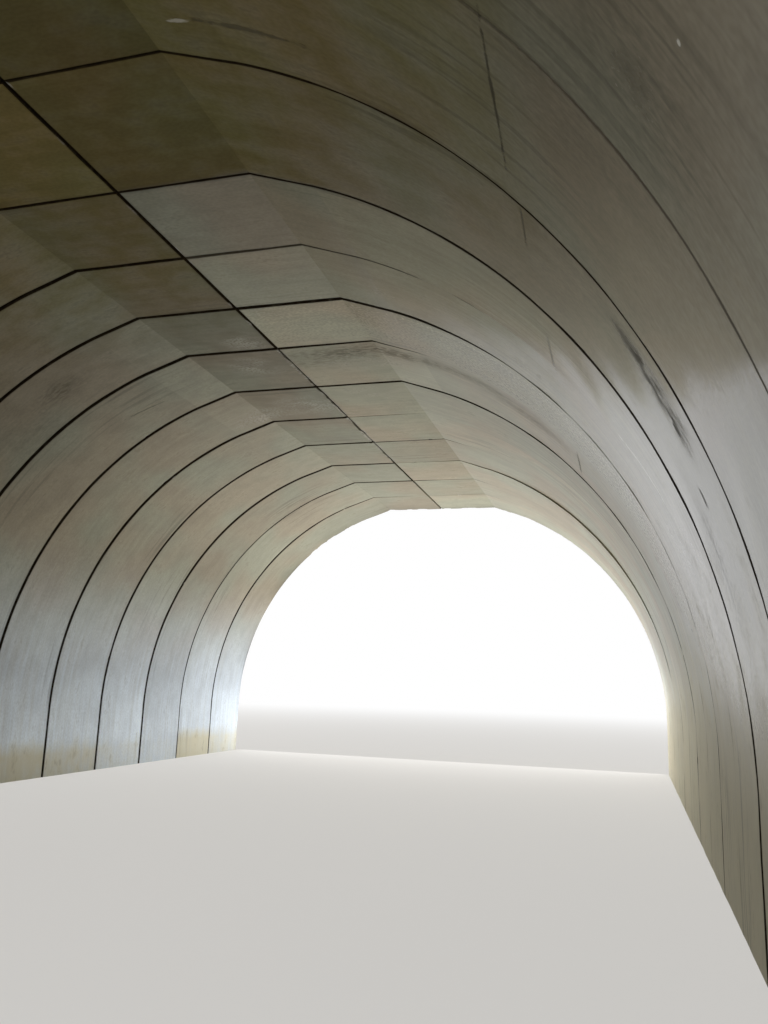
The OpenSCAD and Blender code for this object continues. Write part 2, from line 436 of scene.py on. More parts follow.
class Graph:
    """Adds nodes to the node tree of one material or world, and joins them."""

    def __init__(self, owner: bpy.types.Material | bpy.types.World) -> None:
        """Empties the owner's node tree.

        Args:
            owner: The material or world.
        """
        owner.use_nodes = True
        self.owner, self.tree = owner, owner.node_tree
        self.tree.nodes.clear()

    def node(self, kind: str) -> bpy.types.Node:
        """Adds a node."""
        return self.tree.nodes.new(kind)

    def put(self, target: Socket, value: Wire | float | tuple[float, ...]) -> None:
        """Joins a wire to an input, or sets the input.

        Args:
            target: The node's input.
            value: The wire, or a number, vector or colour.
        """
        if isinstance(value, Wire):
            self.tree.links.new(value.socket, target)
        elif isinstance(value, tuple) and len(target.default_value) == 4:
            target.default_value = (*value, 1.0)
        else:
            target.default_value = value

    def math(self, operation: str, a: Wire | float, b: Wire | float = 0.0) -> Wire:
        """Adds one sum of two numbers.

        Args:
            operation: The sum's name.
            a: The first number.
            b: The second, where the sum has one.

        Returns:
            The result.
        """
        node = self.node("ShaderNodeMath")
        node.operation = operation
        self.put(node.inputs[0], a)
        self.put(node.inputs[1], b)
        return Wire(self, node.outputs[0])

    def vector_math(self, operation: str, *parts: Wire | tuple[float, ...], gives: str = "Vector") -> Wire:
        """Adds one sum of vectors.

        Args:
            operation: The sum's name.
            parts: The vectors, in the order of the node's inputs.
            gives: The output that holds the result.

        Returns:
            The result.
        """
        node = self.node("ShaderNodeVectorMath")
        node.operation = operation
        for target, value in zip(node.inputs, parts):
            self.put(target, value)
        return Wire(self, node.outputs[gives])

    def vector(self, *parts: Wire | float) -> Wire:
        """Joins numbers to a vector.

        Args:
            parts: X and Y, and Z where it isn't 0.

        Returns:
            The vector.
        """
        node = self.node("ShaderNodeCombineXYZ")
        for target, value in zip(node.inputs, parts):
            self.put(target, value)
        return Wire(self, node.outputs[0])

    def split(self, vector: Wire) -> tuple[Wire, Wire, Wire]:
        """Takes a vector apart.

        Args:
            vector: The vector.

        Returns:
            Its three numbers.
        """
        node = self.node("ShaderNodeSeparateXYZ")
        self.put(node.inputs[0], vector)
        x, y, z = (Wire(self, output) for output in node.outputs)
        return x, y, z

    def stretched(self, place: Wire, scale: tuple[float, ...]) -> Wire:
        """A place times its own number of cells to the metre along each axis."""
        return self.vector_math("MULTIPLY", place, (*scale, 0.0)[:3])

    def noise(self, place: Wire, scale: tuple[float, ...], detail: float = 3.0, rough: float = 0.55) -> Wire:
        """Adds cloudy noise.

        Args:
            place: Where it is looked up.
            scale: Cells to the metre along two axes for flat noise, or along three for solid noise.
            detail: How many finer layers it has.
            rough: How strong each finer layer is beside the last.

        Returns:
            The noise, about 0.5.
        """
        node = self.node("ShaderNodeTexNoise")
        node.noise_dimensions = f"{len(scale)}D"
        inputs = {"Vector": self.stretched(place, scale), "Scale": 1.0, "Detail": detail, "Roughness": rough}
        for key, value in inputs.items():
            self.put(node.inputs[key], value)
        return Wire(self, node.outputs["Fac"])

    def cells(self, place: Wire, scale: tuple[float, ...]) -> Wire:
        """Adds scattered cells.

        Args:
            place: Where they are looked up.
            scale: Cells to the metre along two or three axes.

        Returns:
            The distance to the nearest cell's point.
        """
        node = self.node("ShaderNodeTexVoronoi")
        node.feature, node.voronoi_dimensions = "F1", f"{len(scale)}D"
        self.put(node.inputs["Vector"], self.stretched(place, scale))
        self.put(node.inputs["Scale"], 1.0)
        return Wire(self, node.outputs["Distance"])

    def mix(self, factor: Wire | float, a: Wire | Colour, b: Wire | Colour, blend: str = "MIX") -> Wire:
        """Mixes or multiplies two colours.

        Args:
            factor: Share of the second colour.
            a: The first colour.
            b: The second colour.
            blend: MIX or MULTIPLY.

        Returns:
            The colour.
        """
        node = self.node("ShaderNodeMix")
        node.data_type, node.blend_type = "RGBA", blend
        self.put(node.inputs[0], factor)
        self.put(node.inputs[6], a)
        self.put(node.inputs[7], b)
        return Wire(self, node.outputs[2])

    def shade(self, colour: Wire, amount: Wire) -> Wire:
        """Multiplies a colour by a number."""
        return self.mix(1.0, colour, self.vector(amount, amount, amount), "MULTIPLY")

    def turned(self, place: Wire, turn: float) -> Wire:
        """Turns a flat place about 0.

        Args:
            place: The place.
            turn: The angle, clockwise on the map.

        Returns:
            The turned place.
        """
        cos, sin = math.cos(turn), math.sin(turn)
        axes = ((cos, -sin, 0.0), (sin, cos, 0.0))
        return self.vector(*[self.vector_math("DOT_PRODUCT", place, axis, gives="Value") for axis in axes])

    def value(self, name: str) -> Wire:
        """Reads a number that the mesh carries at its points.

        Args:
            name: The number's name.

        Returns:
            The number.
        """
        node = self.node("ShaderNodeAttribute")
        node.attribute_name = name
        return Wire(self, node.outputs["Fac"])

    def surface_place(self) -> tuple[Wire, Wire]:
        """Reads the piece's own map.

        Returns:
            Metres along the barrel and metres up the surface.
        """
        node = self.node("ShaderNodeUVMap")
        node.uv_map = "surface"
        u, v, _ = self.split(Wire(self, node.outputs["UV"]))
        return u, v

    def leaf_place(self, u: Wire, v: Wire) -> Wire:
        """The piece's own map moved by its seed, so that no two leaves show the same pattern."""
        apart = self.value("seed") * SEED_STEP
        return self.vector(u + apart, v + apart)

    def place(self, kind: str) -> Wire:
        """A place from the texture coordinates: Object for metres in the frame, Generated for a world."""
        return Wire(self, self.node("ShaderNodeTexCoord").outputs[kind])

    def seen(self) -> Wire:
        """Finds the rays that show the studio itself.

        Returns:
            1 for rays from the camera, off a shiny face or through a clear one, and 0 for others.
        """
        rays = self.node("ShaderNodeLightPath").outputs
        names = ("Is Camera Ray", "Is Glossy Ray", "Is Transmission Ray")
        camera, glossy, clear = (Wire(self, rays[name]) for name in names)
        return camera.or_more(glossy).or_more(clear)

    def end(self, kind: str, share: Wire | float, first: Socket, second: Socket | None = None) -> None:
        """Joins one shader, or a share of a second over a first, to the tree's output.

        Args:
            kind: The output node's kind.
            share: Share of the second shader.
            first: The shader that stands alone or lies below.
            second: The shader that is mixed over it, or None.
        """
        if second is not None:
            both = self.node("ShaderNodeMixShader")
            for target, value in zip(both.inputs, (share, Wire(self, first), Wire(self, second))):
                self.put(target, value)
            first = both.outputs[0]
        self.put(self.node(kind).inputs["Surface"], Wire(self, first))


class Finish(Graph):
    """The graph of a new material with a principled shader."""

    def __init__(self, name: str) -> None:
        """Starts the material.

        Args:
            name: The material's name.
        """
        super().__init__(bpy.data.materials.new(name))
        self.shader = self.node("ShaderNodeBsdfPrincipled")

    def bump(self, height: Wire, strength: float, distance: float) -> None:
        """Roughens the shader's normal by a height pattern.

        Args:
            height: The pattern.
            strength: How much of it shows.
            distance: Height of a step of 1, in metres.
        """
        node = self.node("ShaderNodeBump")
        for key, value in {"Strength": strength, "Distance": distance, "Height": height}.items():
            self.put(node.inputs[key], value)
        self.put(self.shader.inputs["Normal"], Wire(self, node.outputs["Normal"]))

    def dress(self, colour: Wire | Colour, roughness: Wire | float, specular: Wire | float) -> None:
        """Joins the last colour, roughness and shine to the shader.

        Args:
            colour: The base colour.
            roughness: 0 for a mirror and 1 for chalk.
            specular: How strongly the surface shines.
        """
        self.put(self.shader.inputs["Base Color"], colour)
        self.put(self.shader.inputs["Roughness"], roughness)
        self.put(self.shader.inputs["Specular IOR Level"], specular)

    def finished(self, colour: Wire, roughness: Wire, specular: Wire | float) -> bpy.types.Material:
        """Dresses the shader and joins it to the output.

        Args:
            colour: The base colour.
            roughness: Its roughness.
            specular: Its shine.

        Returns:
            The material.
        """
        self.dress(colour, roughness, specular)
        self.end("ShaderNodeOutputMaterial", 0.0, self.shader.outputs["BSDF"])
        return self.owner


# Metres between the patterns of two leaves with neighbouring seeds
SEED_STEP = 13.7

# Metres that parts of a leaf's map lie apart, so that no mark meant for one falls on another
MAP_SHIFT = {Side.RIGHT: 0.0, Side.LEFT: 100.0}
EARTH_SHIFT = 40.0


@dataclass(frozen=True)
class Mark:
    """One streak, scuff or smudge on a soffit, drawn in the surface's own map."""

    side: Side
    s: float
    y: float
    half_length: float
    half_width: float
    turn: float
    strength: float

    def mask(self, g: Graph, on_map: Wire, fray: Wire) -> Wire:
        """A soft-edged, ragged ellipse.

        Args:
            g: The graph that it is added to.
            on_map: Place on the surface's own map, turned by the mark's turn.
            fray: Noise about 0 that frays its edge.

        Returns:
            The mark's strength at its middle, down to nothing at its frayed edge.
        """
        u, v = self.y + MAP_SHIFT[self.side], self.s
        cos, sin = math.cos(self.turn), math.sin(self.turn)
        scale = (1 / self.half_width, 1 / self.half_length, 0.0)
        middle = ((v * sin - u * cos) / self.half_width, -(u * sin + v * cos) / self.half_length, 0.0)
        off = g.vector_math("LENGTH", g.vector_math("MULTIPLY_ADD", on_map, scale, middle), gives="Value")
        return (off + fray).span(0.45, 1.05, self.strength, 0.0)


@dataclass(frozen=True)
class SoffitConcrete:
    """Form-cast concrete inside the barrel, with its stains, streaks, smudges and marks, and painted light and
    shade.
    """

    profile: BarrelProfile
    dark_marks: tuple[Mark, ...]
    light_marks: tuple[Mark, ...]
    warm: Colour = (0.475, 0.415, 0.305)
    green: Colour = (0.42, 0.415, 0.315)
    # A cool pale tint low on the walls
    cool_pale: Colour = (0.60, 0.665, 0.745)
    silt: Colour = (0.62, 0.575, 0.42)
    film_and_shade: Colour = (0.50, 0.455, 0.262)
    film_shade_grey: Colour = (0.43, 0.435, 0.45)
    # Near black for joint grime, and for painted shade in the open joints
    grime_and_shade: Colour = (0.024, 0.016, 0.009)
    soot: Colour = (0.060, 0.054, 0.042)
    fresh: Colour = (0.62, 0.60, 0.54)
    chalk: Colour = (0.84, 0.83, 0.78)
    aggregate: Colour = (0.30, 0.28, 0.25)
    ragged_edge: float = 1.7
    streak_share: float = 0.35
    smudge_share: float = 0.16
    grain_height: float = 0.00022

    def build(self) -> bpy.types.Material:
        """Layers the finish from the bare concrete up.

        Returns:
            The material: clouded concrete in the tone of its leaf, which carries painted light and shade,
                tinted cool
            and pale low down, then silt, the dark film with its painted shade, streaks, soot, smudges, marks,
            chips and the grime and painted shade of the joints, with the gloss of its form.
        """
        g = Finish("soffit_concrete")
        u, v = g.surface_place()
        on_map = g.vector(u, v)
        place = g.leaf_place(u, v)
        cloud = g.noise(place, (0.42, 0.55), 1.0)
        blotch = g.noise(place, (2.7, 1.8), 2.0, 0.62)
        run = g.noise(place, (10.0, 0.45), 2.0, 0.6)
        speckle = g.noise(place, (34.0, 20.0), 0.0)
        rag = g.noise(place, (18.0, 6.0), 2.0, 0.65)
        fray = (rag - 0.5) * self.ragged_edge

        colour = g.mix(cloud.span(0.34, 0.66), self.warm, self.green)
        cool_pale = (g.value("cool_tint") * run.span(0.3, 0.7, 0.90, 1.05)).held()
        colour = g.mix(cool_pale, colour, self.cool_pale)
        lined = (run - 0.5) * g.value("lined").span(0.0, 1.0, 0.20, 0.95)
        tone = g.value("tone") * (lined + 1.0) * cloud.span(0.25, 0.75, 0.94, 1.06)
        tone = tone * blotch.span(0.25, 0.75, 0.93, 1.05) * speckle.span(0.2, 0.8, 0.95, 1.05)
        colour = g.shade(colour, tone)

        silt = (g.value("silt") + (blotch - 0.5) * 0.5).span(0.12, 0.90, 0.0, 0.88)
        colour = g.mix(silt, colour, self.silt)
        # Dark film, partly a stain and partly painted shade on the vault near the open end; its weaker parts
        # darken by a neutral grey
        film_and_shade = (g.value("film_and_shade") * blotch.span(0.2, 0.8, 1.06, 0.92)).held()
        film_and_shade_hue = g.mix(film_and_shade.span(0.62, 1.0), self.film_shade_grey, self.film_and_shade)
        colour = g.mix(film_and_shade, colour, g.mix(1.0, colour, film_and_shade_hue, "MULTIPLY"))

        streak = run.span(0.50, 0.68) * g.value("streak")
        colour = g.mix(streak * self.streak_share, colour, self.soot)
        wisps = (rag + blotch * 0.5).span(0.60, 0.88, 0.35, 1.0)
        sooty = (g.value("soot") * wisps * 0.8).held()
        smudge = blotch.span(0.60, 0.70) * rag.span(0.42, 0.60)
        sooty = sooty.or_more(smudge * self.smudge_share)
        fresh = (g.value("fresh") * blotch.span(0.38, 0.62, 0.45, 1.2)).held()

        turns = sorted({mark.turn for mark in self.dark_marks + self.light_marks})
        turned = {turn: g.turned(on_map, turn) for turn in turns}
        for mark in self.dark_marks:
            sooty = sooty.or_more(mark.mask(g, turned[mark.turn], fray))
        colour = g.mix(sooty, colour, self.soot)
        for mark in self.light_marks:
            colour = g.mix(mark.mask(g, turned[mark.turn], fray), colour, self.chalk)
        colour = g.mix(fresh, colour, g.mix(speckle.span(0.45, 0.70), self.fresh, self.aggregate))
        # Joint grime with painted shade: the open slots and their edges are darkened towards near black
        dirt_and_shade = (g.value("grime_and_shade") * rag.span(0.1, 0.6, 0.88, 1.0)).held()
        colour = g.mix(dirt_and_shade, colour, self.grime_and_shade)

        g.bump(speckle, 1.0, self.grain_height)
        polish = g.value("polish")
        dull = sooty.or_more(dirt_and_shade).or_more(fresh).held()
        roughness = speckle.span(0.3, 0.7, 0.09, 0.15) + dull * 0.35 + silt * 0.15
        roughness = roughness + polish.span(0.0, 1.0, 0.26, 0.0)
        fold = self.profile.fold_at
        shine = dull.span(0.0, 0.9, 0.28, 0.03) * polish.span(0.0, 1.0, 0.45, 1.0)
        shine = shine * v.span(2.0, 5.5, 0.32, 1.0) * film_and_shade.span(0.55, 1.0, 1.0, 0.10)
        return g.finished(colour, roughness, shine * v.span(fold - 0.01, fold, 1.0, 0.45))


@dataclass(frozen=True)
class EarthConcrete:
    """The rough outer face of the rings, stained by the soil that covered it."""

    bare: Colour = (0.40, 0.385, 0.345)
    pale: Colour = (0.50, 0.485, 0.445)
    clay: Colour = (0.36, 0.265, 0.175)
    damp: Colour = (0.20, 0.185, 0.155)
    relief: float = 0.008

    def build(self) -> bpy.types.Material:
        """Layers the finish.

        Returns:
            The material: trowelled concrete with clay in patches, runs along the arc and damp near the base.
        """
        g = Finish("earth_concrete")
        u, v = g.surface_place()
        place = g.leaf_place(u, v)
        height = g.split(g.place("Object"))[2]
        cloud = g.noise(place, (0.5, 0.4), 4.0, 0.6)
        blotch = g.noise(place, (3.0, 2.2), 5.0, 0.65)
        trowel = g.noise(place, (2.2, 14.0), 4.0, 0.6)
        grain = g.noise(place, (40.0, 40.0), 2.0, 0.6)
        run = g.noise(place, (7.0, 0.35), 4.0, 0.6)
        pits = g.cells(place, (16.0, 16.0))
        colour = g.mix(trowel.span(0.35, 0.65), self.bare, self.pale)
        colour = g.shade(colour, g.value("tone") * blotch.span(0.25, 0.75, 0.85, 1.1))
        colour = g.mix(cloud.span(0.44, 0.62) * blotch.span(0.3, 0.7, 0.35, 0.9), colour, self.clay)
        colour = g.mix(run.span(0.52, 0.72) * 0.5, colour, self.damp)
        colour = g.mix((height + blotch).span(0.7, 1.9, 0.6, 0.0), colour, self.clay)
        colour = g.mix((g.value("grime_and_shade") * 0.8).held(), colour, self.damp)
        # Painted shade: the pits are darkened in the damp colour
        colour = g.mix(pits.span(0.05, 0.12, 0.7, 0.0), colour, self.damp)
        g.bump(trowel * 0.8 + grain * 0.3 + pits.span(0.03, 0.15) * 0.5, 0.6, self.relief)
        return g.finished(colour, grain.span(0.2, 0.8, 0.78, 0.92), 0.3)


@dataclass(frozen=True)
class FaceConcrete:
    """Weathered concrete of the headwall and its coping."""

    name: str
    bare: Colour
    pale: Colour
    streak: Colour
    growth: Colour
    top: float
    growth_share: float
    splashed: Colour = (0.33, 0.29, 0.205)
    pit_shade: Colour = (0.07, 0.065, 0.055)
    aggregate: Colour = (0.30, 0.28, 0.25)
    relief: float = 0.005

    def build(self) -> bpy.types.Material:
        """Layers the finish.

        Returns:
            The material: cast concrete with rain streaks that fade down from the top, growth, and pits
                darkened with painted shade.
        """
        g = Finish(self.name)
        place = g.place("Object")
        height = g.split(place)[2]
        cloud = g.noise(place, (0.6, 0.6, 0.6), 3.0, 0.6)
        blotch = g.noise(place, (3.2, 3.2, 2.4), 5.0, 0.62)
        grain = g.noise(place, (48.0, 48.0, 48.0), 3.0)
        run = g.noise(place, (6.5, 6.5, 0.28), 5.0, 0.62)
        fine_run = g.noise(place, (28.0, 28.0, 1.1), 3.0, 0.6)
        pits = g.cells(place, (13.0, 13.0, 13.0))
        colour = g.mix(cloud.span(0.35, 0.65), self.bare, self.pale)
        tone = blotch.span(0.25, 0.75, 0.88, 1.07) * grain.span(0.2, 0.8, 0.95, 1.04)
        colour = g.shade(colour, tone * fine_run.span(0.25, 0.75, 0.94, 1.05))
        streaks = run.span(0.47, 0.66) * (self.top - height).span(0.0, 3.6, 1.0, 0.15)
        colour = g.mix(streaks * 0.75, colour, self.streak)
        colour = g.mix(blotch.span(0.45, 0.62) * self.growth_share, colour, self.growth)
        colour = g.mix((height + blotch * 0.5).span(0.35, 0.95, 0.55, 0.0), colour, self.splashed)
        # Painted shade: the pits are darkened almost to black
        hole = pits.span(0.05, 0.10, 1.0, 0.0) * cloud.span(0.45, 0.55)
        colour = g.mix(hole * 0.8, colour, self.pit_shade)
        colour = g.mix(g.value("chip"), colour, g.mix(grain.span(0.35, 0.65), self.pale, self.aggregate))
        g.bump(blotch * 0.7 + grain * 0.3 - hole, 0.5, self.relief)
        return g.finished(colour, blotch.span(0.2, 0.8, 0.66, 0.82), 0.4)


PANEL_CONCRETE = FaceConcrete(
    "headwall_concrete", bare=(0.45, 0.435, 0.39), pale=(0.53, 0.515, 0.47), streak=(0.17, 0.16, 0.13),
    growth=(0.24, 0.235, 0.17), top=8.7, growth_share=0.22,
)
COPING_CONCRETE = FaceConcrete(
    "coping_concrete", bare=(0.48, 0.465, 0.42), pale=(0.57, 0.555, 0.51), streak=(0.20, 0.19, 0.16),
    growth=(0.25, 0.26, 0.17), top=9.4, growth_share=0.6,
)


@dataclass(frozen=True)
class WrapSheet:
    """The black sealing sheet over the joints, dusty and smeared with soil."""

    black: Colour = (0.026, 0.026, 0.028)
    worn: Colour = (0.060, 0.058, 0.056)
    dust: Colour = (0.215, 0.165, 0.115)
    relief: float = 0.01

    def build(self) -> bpy.types.Material:
        """Layers the finish.

        Returns:
            The material: black sheet with worn streaks, soil dust and fine wrinkles.
        """
        g = Finish("joint_wrap_sheet")
        place = g.vector(*g.surface_place())
        cloud = g.noise(place, (1.2, 0.6), 4.0, 0.65)
        wrinkle = g.noise(place, (9.0, 3.0), 3.0, 0.6)
        grain = g.noise(place, (90.0, 90.0), 1.0)
        colour = g.mix(wrinkle.span(0.4, 0.7), self.black, self.worn)
        colour = g.mix(cloud.span(0.48, 0.72) * 0.55, colour, self.dust)
        g.bump(wrinkle * 0.9 + grain * 0.15, 0.6, self.relief)
        return g.finished(colour, cloud.span(0.35, 0.7, 0.46, 0.82), 0.5)


@dataclass(frozen=True)
class FloorPaint:
    """The plain pale studio floor."""

    pale: Colour = (0.70, 0.68, 0.645)
    seen: Colour = (0.80, 0.785, 0.76)
    seen_share: float = 0.68
    near: float = 13.0
    far: float = 70.0

    def build(self) -> bpy.types.Material:
        """Builds the finish.

        Returns:
            A pale matt material, which the camera sees as partly of an even pale tone, up to white far away,
            so that the object's shadow stays on it and the floor runs into the surroundings.
        """
        g = Finish("studio_floor")
        x, y, _ = g.split(g.place("Object"))
        away = g.math("SQRT", x * x + y * y)
        g.dress(self.pale, 0.9, 0.2)
        even = g.node("ShaderNodeEmission")
        g.put(even.inputs["Color"], g.mix(away.span(self.near, self.far), self.seen, (1.0, 1.0, 1.0)))
        share = away.span(self.near, self.far, self.seen_share, 1.0) * g.seen()
        g.end("ShaderNodeOutputMaterial", share, g.shader.outputs["BSDF"], even.outputs[0])
        return g.owner


# Barrel


@dataclass(frozen=True)
class JointLook:
    """How wide a ring joint opens on one side, at five heights from the base to the crown."""

    widths: tuple[float, float, float, float, float]
    heights: tuple[float, float, float, float, float] = (1.0, 4.5, 7.0, 8.6, 11.0)
    smeared: float = 0.0
    at_end: bool = False
    widest_gap: float = 0.042
    narrowest_gap: float = 0.0012
    nominal_gap: float = 0.014

    def width(self, s: Array) -> Array:
        """Width of the dark line at a distance up the soffit, in metres."""
        return np.interp(s, self.heights, np.array(self.widths) / 1000)

    def gap(self, s: Array) -> Array:
        """Width of the open slot: half of the dark line, less where mortar fills it, and never shut."""
        return np.clip(self.width(s) * (0.5 - 0.3 * self.smeared), self.narrowest_gap, self.widest_gap)

    def set_back(self, s: Array) -> Array:
        """How far each leaf's edge lies back from its nominal place."""
        return np.zeros(s.shape) if self.at_end else (self.gap(s) - self.nominal_gap) / 2

    def chamfer(self, s: Array) -> Array:
        """Size of the worn chamfer on each edge."""
        return np.clip(self.width(s) * 0.25, 0.0015, 0.022)

    def openness(self, s: Array) -> Array:
        """How black the joint is, with grime and painted shade in the open slot: 0 where it is shut and 1
        where it is wide open.
        """
        bare = 0.10 if self.at_end else 1 - 0.45 * self.smeared
        return bare * np.clip(self.width(s) / 0.030, 0, 1)

    def spread(self, s: Array) -> Array:
        """How far the grime and painted shade of the joint spread onto the soffit."""
        return np.clip(self.width(s) * 0.13, 0.0015, 0.011)


@dataclass(frozen=True)
class Chip:
    """A piece broken off a soffit edge."""

    edge: Edge
    place: float
    half_length: float
    reach: float
    depth: float

    def bite(self, along: Array, off: Array) -> Array:
        """Share of the chip's depth at points.

        Args:
            along: Places along the edge.
            off: Distances from the edge.

        Returns:
            A bowl along the edge times a slope down from it: (1 - t^2)^0.6 * (1 - off / reach).
        """
        t = np.clip(1 - ((along - self.place) / self.half_length) ** 2, 0, None) ** 0.6
        return t * np.clip(1 - off / self.reach, 0, None)


@dataclass(frozen=True)
class Blob:
    """A soft patch of stain on a soffit."""

    s: float
    y: float
    half_s: float
    half_y: float
    strength: float

    def at(self, s: Array, y: Array) -> Array:
        """Strength of the patch at points: a soft ellipse."""
        off = ((s - self.s) / self.half_s) ** 2 + ((y - self.y) / self.half_y) ** 2
        return self.strength * np.exp(-off)


@dataclass(frozen=True)
class SideLook:
    """What differs from ring to ring on one side of the barrel, counted from the open end.

    joints holds the width of each joint's dark line in millimetres, at five heights from base to crown, and
    smeared the share to which mortar fills some of them. The panel tones hold the tone of each flat crown
    panel and of its shoulder, beside that of the arc: partly the concrete's own tone, and partly painted shade
    where the flats of the near right rings are darkened against the light they catch. silt is the strength of
    the stain at each leaf's foot. lips says how far each leaf is cast back in mid arc, in millimetres.
    """

    joints: tuple[tuple[float, ...], ...]
    smeared: dict[int, float]
    panel_tones_and_shade: tuple[tuple[float, float], ...]
    silt: tuple[float, ...]
    lips: tuple[float, ...]
    soot: tuple[Blob, ...]
    chalk: tuple[Blob, ...]


LOOKS = {
    Side.LEFT: SideLook(
        joints=(
            (40, 40, 36, 32, 30), (40, 40, 36, 34, 32), (40, 40, 38, 38, 38), (46, 52, 58, 60, 56),
            (52, 62, 66, 66, 66), (54, 66, 72, 74, 80), (56, 70, 74, 76, 80), (54, 68, 76, 78, 74),
            (53, 72, 74, 78, 74), (57, 76, 84, 84, 68), (33, 48, 60, 66, 72), (42, 60, 66, 50, 6),
        ),
        smeared={},
        panel_tones_and_shade=(
            (-0.04, 0.0), (-0.04, 0.0), (0.0, -0.02), (-0.12, 0.03), (-0.03, 0.03), (-0.05, 0.08),
            (-0.07, 0.09), (-0.10, 0.05), (-0.09, 0.04), (-0.07, 0.03), (-0.06, 0.02), (-0.05, 0.0),
            (-0.04, 0.0),
        ),
        silt=(0.5, 0.5, 0.5, 0.55, 0.6, 0.7, 0.7, 0.75, 0.6, 0.4, 0.3, 0.85, 0.6),
        lips=(0, 2, -2, 1, -2, 2, -1, 3, -2, 2, -3, 5, -3),
        soot=(
            Blob(7.75, -2.25, 0.35, 0.28, 0.6), Blob(6.8, -1.9, 0.9, 0.7, 0.30),
            Blob(4.6, 1.6, 0.8, 0.9, 0.22),
        ),
        chalk=(
            Blob(10.95, -1.75, 0.35, 0.30, 0.9), Blob(10.6, -0.75, 0.35, 0.35, 0.8),
            Blob(9.6, 1.85, 0.5, 0.35, 0.9), Blob(10.8, 1.4, 0.6, 0.4, 0.8),
        ),
    ),
    Side.RIGHT: SideLook(
        joints=(
            (30, 26, 20, 20, 24), (60, 50, 34, 29, 28), (78, 68, 40, 29, 32), (6, 6, 20, 38, 60),
            (34, 6, 15, 70, 82), (8, 2, 3, 14, 70), (34, 26, 40, 64, 62), (12, 4, 4, 4, 22),
            (14, 8, 12, 20, 46), (12, 8, 14, 16, 18), (12, 8, 12, 14, 30), (10, 6, 8, 10, 10),
        ),
        smeared={1: 0.8, 4: 0.5},
        panel_tones_and_shade=(
            # The near flats are darkened with painted shade, against the light they catch
            (-0.22, -0.05), (-0.32, -0.08), (-0.17, -0.04), (-0.09, -0.08), (0.09, -0.05), (0.20, 0.0),
            (0.04, 0.16), (0.10, 0.02), (0.0, 0.02), (-0.10, 0.0), (-0.05, 0.0), (-0.07, 0.0), (-0.02, 0.0),
        ),
        silt=(0.6, 0.65, 0.75, 0.85, 0.85, 0.85, 0.85, 0.8, 0.8, 0.75, 0.7, 0.7, 0.6),
        lips=(0, -2, 2, -3, 4, -2, 5, -5, 6, 14, -22, -4, 10),
        soot=(
            Blob(4.40, -7.42, 0.30, 0.16, 1.3), Blob(4.78, -7.52, 0.20, 0.10, 1.1),
            Blob(4.02, -7.42, 0.22, 0.20, 0.8), Blob(11.0, -0.85, 0.9, 0.42, 0.50),
            Blob(9.75, -1.04, 1.0, 0.28, 0.75), Blob(8.10, -1.12, 1.1, 0.16, 0.50),
            Blob(6.90, -0.80, 0.8, 0.22, 0.45), Blob(4.70, -10.4, 0.5, 0.40, 0.45),
            Blob(5.30, -9.4, 0.7, 0.4, 0.25), Blob(3.3, -6.7, 0.7, 0.25, 0.40),
            Blob(4.6, -9.9, 1.0, 0.5, 0.20),
        ),
        chalk=(Blob(10.0, -0.55, 0.8, 0.3, 0.6), Blob(10.4, 0.9, 0.7, 0.4, 0.4)),
    ),
}

# Single marks on the soffits
DARK_MARKS = (
    Mark(Side.RIGHT, 8.55, -8.33, 0.62, 0.035, 0.0, 0.60),
    Mark(Side.RIGHT, 3.60, -7.02, 0.13, 0.05, 0.2, 0.8),
    Mark(Side.RIGHT, 4.78, -7.49, 0.22, 0.08, -0.4, 0.65),
    Mark(Side.RIGHT, 4.06, -7.31, 0.07, 0.06, 0.0, 0.9),
    Mark(Side.RIGHT, 4.72, -10.35, 0.18, 0.09, 0.2, 0.45),
    Mark(Side.RIGHT, 3.15, -6.60, 0.55, 0.016, 0.0, 0.55),
    Mark(Side.LEFT, 8.20, -0.42, 0.50, 0.025, 0.2, 0.5),
    Mark(Side.RIGHT, 6.01, -9.02, 0.018, 0.90, -0.06, 0.75),
    Mark(Side.RIGHT, 6.01, -7.56, 0.016, 0.40, -0.06, 0.65),
    Mark(Side.RIGHT, 6.03, -4.95, 0.017, 0.60, 0.0, 0.60),
    Mark(Side.RIGHT, 5.97, -0.55, 0.020, 0.85, 0.0, 0.60),
)
LIGHT_MARKS = (
    Mark(Side.RIGHT, 9.26, -8.29, 0.15, 0.024, 0.2, 0.50),
    Mark(Side.RIGHT, 4.50, -4.80, 0.55, 0.05, 0.2, 0.8),
    Mark(Side.RIGHT, 4.42, -10.81, 0.014, 0.014, 0.0, 1.0),
)


@dataclass(frozen=True)
class LeafTone:
    """Tone of one leaf and of its crown panel and shoulder, beside that of plain concrete, partly painted
    shade on the panels.
    """

    whole: float
    flat: float
    shoulder: float
    silt: float


@dataclass(frozen=True)
class LoopParts:
    """How a leaf's loop of points is shared out: soffit, end joint face, outer face and start joint face."""

    soffit: int
    face: int
    outer: int

    @property
    def outer_start(self) -> int:
        """First column of the outer face."""
        return self.soffit + self.face

    @property
    def outer_end(self) -> int:
        """First column past the outer face."""
        return self.outer_start + self.outer

    @property
    def loop(self) -> int:
        """Columns in all."""
        return self.outer_end + self.face

    def creases(self) -> list[int]:
        """Columns at which the surface has an edge."""
        firsts = [0, self.soffit, self.outer_start, self.outer_end]
        return sorted([*firsts, *[first - 1 for first in firsts[1:]], self.loop - 1])

    def on_outer(self) -> Array:
        """Says which of the loop's faces lie on the outer face."""
        column = np.arange(self.loop)
        return (column >= self.outer_start) & (column < self.outer_end - 1)


